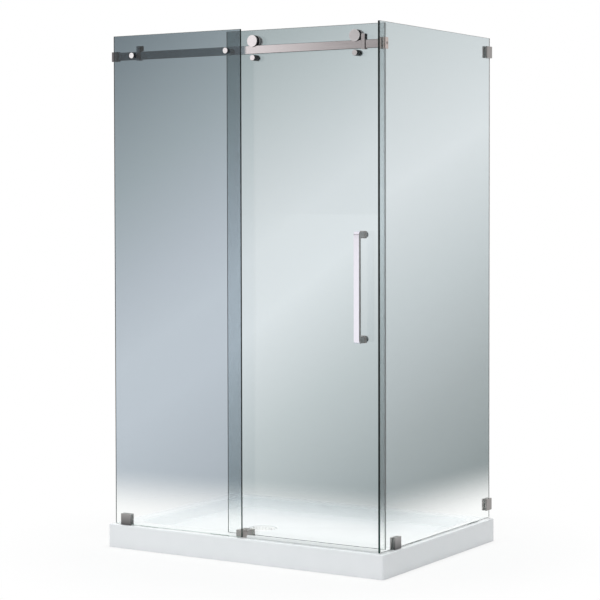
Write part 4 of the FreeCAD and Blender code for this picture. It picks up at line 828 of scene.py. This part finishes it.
CAP_X, CAP_Z, CAP_RADIUS, CAP_SPACING = 0.0385, 1.9235, 0.022, 0.435
left_cap = turned_blank("turned_wheel_cap_left", (CAP_X, CAP_Z), CAP_RADIUS, -0.4105, -0.408)
in_edit_mode(left_cap)
select_faces(left_cap, lambda face: face.normal.y > 0.9)
bpy.ops.mesh.inset(thickness=0.0131)
bpy.ops.mesh.extrude_region_move(TRANSFORM_OT_translate={"value": (0.0, 0.0035, 0.0)})
bpy.ops.mesh.inset(thickness=0.0015)
bpy.ops.mesh.extrude_region_move(TRANSFORM_OT_translate={"value": (0.0, -0.0035, 0.0)})
rim = select_edges(
    left_cap,
    lambda edge: all(
        vertex.co.y < -0.4104
        and abs(math.hypot(vertex.co.x - CAP_X, vertex.co.z - CAP_Z) - CAP_RADIUS) < 0.0002
        for vertex in edge.verts))
bpy.ops.mesh.bevel(offset=0.001, segments=3, affect="EDGES")
back_to_object_mode()
even_shading(left_cap, 35)
right_cap = shifted_copy(left_cap, "turned_wheel_cap_right", (CAP_SPACING, 0.0, 0.0))
# The rims and sides of the wheel caps get the dark steel: a painted dark reflection.
wear_two(left_cap, cap_steel, painted_dark_edge_steel, "wheel_cap_left", behind_front)
wear_two(right_cap, cap_steel, painted_dark_edge_steel, "wheel_cap_right", behind_front)
print("cap rim edges:", rim, "faces:", len(left_cap.data.polygons))

# %% [markdown]
# Two round caps on the face of the fixed pane hold the rail behind it. Each is a short turned
# cylinder with a rounded front edge and a blind hole for the bolt. Both have the same finish.

# %% Connector caps
BOLT_X, BOLT_Z, BOLT_SPACING = -0.4975, 1.8915, 0.432
caps_piece = turned_blank("rail_connector_caps", (BOLT_X, BOLT_Z), 0.011, -0.4325, -0.4245, 48)
in_edit_mode(caps_piece)
select_edges(caps_piece, lambda edge: all(vertex.co.y < -0.4324 for vertex in edge.verts))
bpy.ops.mesh.bevel(offset=0.001, segments=3, affect="EDGES")
select_faces(
    caps_piece, lambda face: face.normal.y < -0.99 and face.calc_area() > 0.0001)
bpy.ops.mesh.inset(thickness=0.0035)
bpy.ops.mesh.inset(thickness=0.0004, depth=-0.0003)
back_to_object_mode()
drill(caps_piece, (BOLT_X, -0.4235, BOLT_Z), (BOLT_X, -0.4305, BOLT_Z), 0.0041)
second_cap = shifted_copy(caps_piece, "second_cap", (BOLT_SPACING, 0.0, 0.0))
select_only(caps_piece)
second_cap.select_set(True)
bpy.ops.object.join()
even_shading(caps_piece, 35)
# The rims and sides of the connector caps get the dark steel: a painted dark reflection.
wear_two(caps_piece, cap_steel, painted_dark_edge_steel, "connector_caps", behind_front)
print("connector caps faces:", len(caps_piece.data.polygons))

# %% [markdown]
# The visible half of each glass clip is a plain steel plate, 45 by 43 by 8.5 mm, with its outer
# edges broken by 1 mm. It is made once, lying in its own frame with the glass at y = 0, and then
# turned into its four places: on the tray before two panes, and on the wall at two heights.

# %% Clip plates
plate_pattern = block("clip_plate_pattern", (-0.0225, -0.0135, 0.0), (0.0225, -0.005, 0.043))
in_edit_mode(plate_pattern)
select_edges(plate_pattern, lambda edge: all(vertex.co.y < -0.0134 for vertex in edge.verts))
bpy.ops.mesh.bevel(offset=0.001, segments=2, affect="EDGES")
back_to_object_mode()
drill(plate_pattern, (0.0, -0.004, 0.011), (0.0, -0.0105, 0.011), 0.0031)
soften(plate_pattern, 0.0002, segments=1, angle=50)
quarter_turn = Matrix.Rotation(math.radians(90), 4, "Z")
wall_turn = Matrix(((0, -1, 0, 0), (0, 0, -1, 0), (1, 0, 0, 0), (0, 0, 0, 1)))
CLIP_PLACES = (
    ("fixed_floor_clip_plate", (-0.535, -0.4195, 0.089), Matrix()),
    ("return_floor_clip_plate", (0.5845, -0.314, 0.089), quarter_turn),
    ("upper_wall_clip_plate", (0.5845, 0.4445, 1.913), wall_turn),
    ("lower_wall_clip_plate", (0.5845, 0.4445, 0.145), wall_turn),
)
for node, spot, turn in CLIP_PLACES:
    mesh = plate_pattern.data.copy()
    mesh.transform(Matrix.Translation(spot) @ turn)
    plate = bpy.data.objects.new(node + "_dressed", mesh)
    scene.collection.objects.link(plate)
    wear(plate, foot_steel if "floor" in node else clip_steel, node)
bpy.data.objects.remove(plate_pattern)
print("clip plates:", len(CLIP_PLACES))

# %% [markdown]
# Everything of steel gets soft edges: a bare corner would be a hard line, while the real one is
# broken by hand and shows a thin highlight.

# %% Steel fittings
STEEL_PIECES = (
    ("rail_wall_bracket", dark_steel, 0.0003),
    ("rail_return_block", bracket_steel, 0.0003),
    ("fixed_floor_clip", foot_steel, 0.0003),
    ("return_floor_clip", foot_steel, 0.0003),
    ("upper_wall_clip", clip_steel, 0.0003),
    ("lower_wall_clip", clip_steel, 0.0003),
    ("bottom_guide", clip_steel, 0.0003),
    # The collars and inner caps take the same darker steel: painted shade.
    ("handle_collars", painted_shade_post_steel, 0.0003),
    ("handle_inner_caps", painted_shade_post_steel, 0.0002),
    ("connector_spacers", disc_steel, 0.0002),
    ("roller_inner_caps", disc_steel, 0.0003),
    ("antilift_inner_caps", cap_steel, 0.0002),
    ("roller_mounts", hanger_steel, 0.0002),
)
for node, steel, edge_width in STEEL_PIECES:
    fitting = clean_copy(node)
    soften(fitting, edge_width)
    wear(fitting, steel, node)
print("steel fittings:", len(STEEL_PIECES))

# %% [markdown]
# The stops and the socket are bars with edges rounded by a millimetre; the rail keeps its narrow
# chamfers. These edges and both ends of the short bars get a painted dark reflection, and the
# underside of the rail gets painted shade.

# %% Bars with rounded edges
BAR_PIECES = (
    ("rail", rail_steel, 0.0002),
    ("stop_left", rail_steel, 0.0010),
    ("stop_right", rail_steel, 0.0010),
    ("rail_return_socket", bracket_steel, 0.0010),
)
for node, steel, edge_width in BAR_PIECES:
    bar = clean_copy(node)
    bar.data.materials.append(steel)
    bar.data.materials.append(painted_shade_rail_steel if node == "rail" else painted_dark_edge_steel)
    soften(bar, edge_width, segments=3, edge_slot=1)
    # Both ends of the short bars: a painted dark reflection.
    for face in bar.data.polygons:
        if node != "rail" and abs(face.normal.x) > 0.5:
            face.material_index = 1
    # The rail's chamfers get a painted dark reflection and its underside painted shade.
    if node == "rail":
        outline = [face for face in bar.data.polygons
                   if face.normal.z < -0.3 or 0.3 < face.normal.z < 0.9]
        for face in outline:
            face.material_index = 1
        print("rail faces in the dark outline:", len(outline))
    stand_in(bar, node)
studs_piece = clean_copy("antilift_studs")
soften(studs_piece, 0.0002)
# The rims, sides and rear parts of the studs before the door get the dark steel: a painted dark
# reflection.
wear_two(
    studs_piece, cap_steel, painted_dark_edge_steel, "antilift_studs",
    lambda face: -0.378 > face.center.y and (behind_front(face) or face.center.y > -0.4070))
print("bars:", len(BAR_PIECES))

# %% [markdown]
# The small inner pieces keep their CAD form and only get the right material.

# %% Materials of the other nodes
SLOT_MATERIALS = {
    "acrylic": formed_acrylic,
    "clear_glass": fixed_glass,
    "brushed_steel": clip_steel,
    "polished_steel": bolt_steel,
    "clear_vinyl": clear_vinyl,
    "black_rubber": black_rubber,
    "black_nylon": black_nylon,
    "white_nylon": white_nylon,
    "bearing_steel": race_steel,
    "chrome_brass": chrome_plate,
}
for node, cad_object in frame["nodes"].items():
    for slot in cad_object.material_slots:
        slot.material = SLOT_MATERIALS[slot_of_node[node]]
OTHER_LOOKS = (
    ("threshold_strip", milky_vinyl),
    ("door_strike_seal", seal_vinyl),
    ("drain_cover", drain_steel),
)
for node, look in OTHER_LOOKS:
    for slot in frame["nodes"][node].material_slots:
        slot.material = look
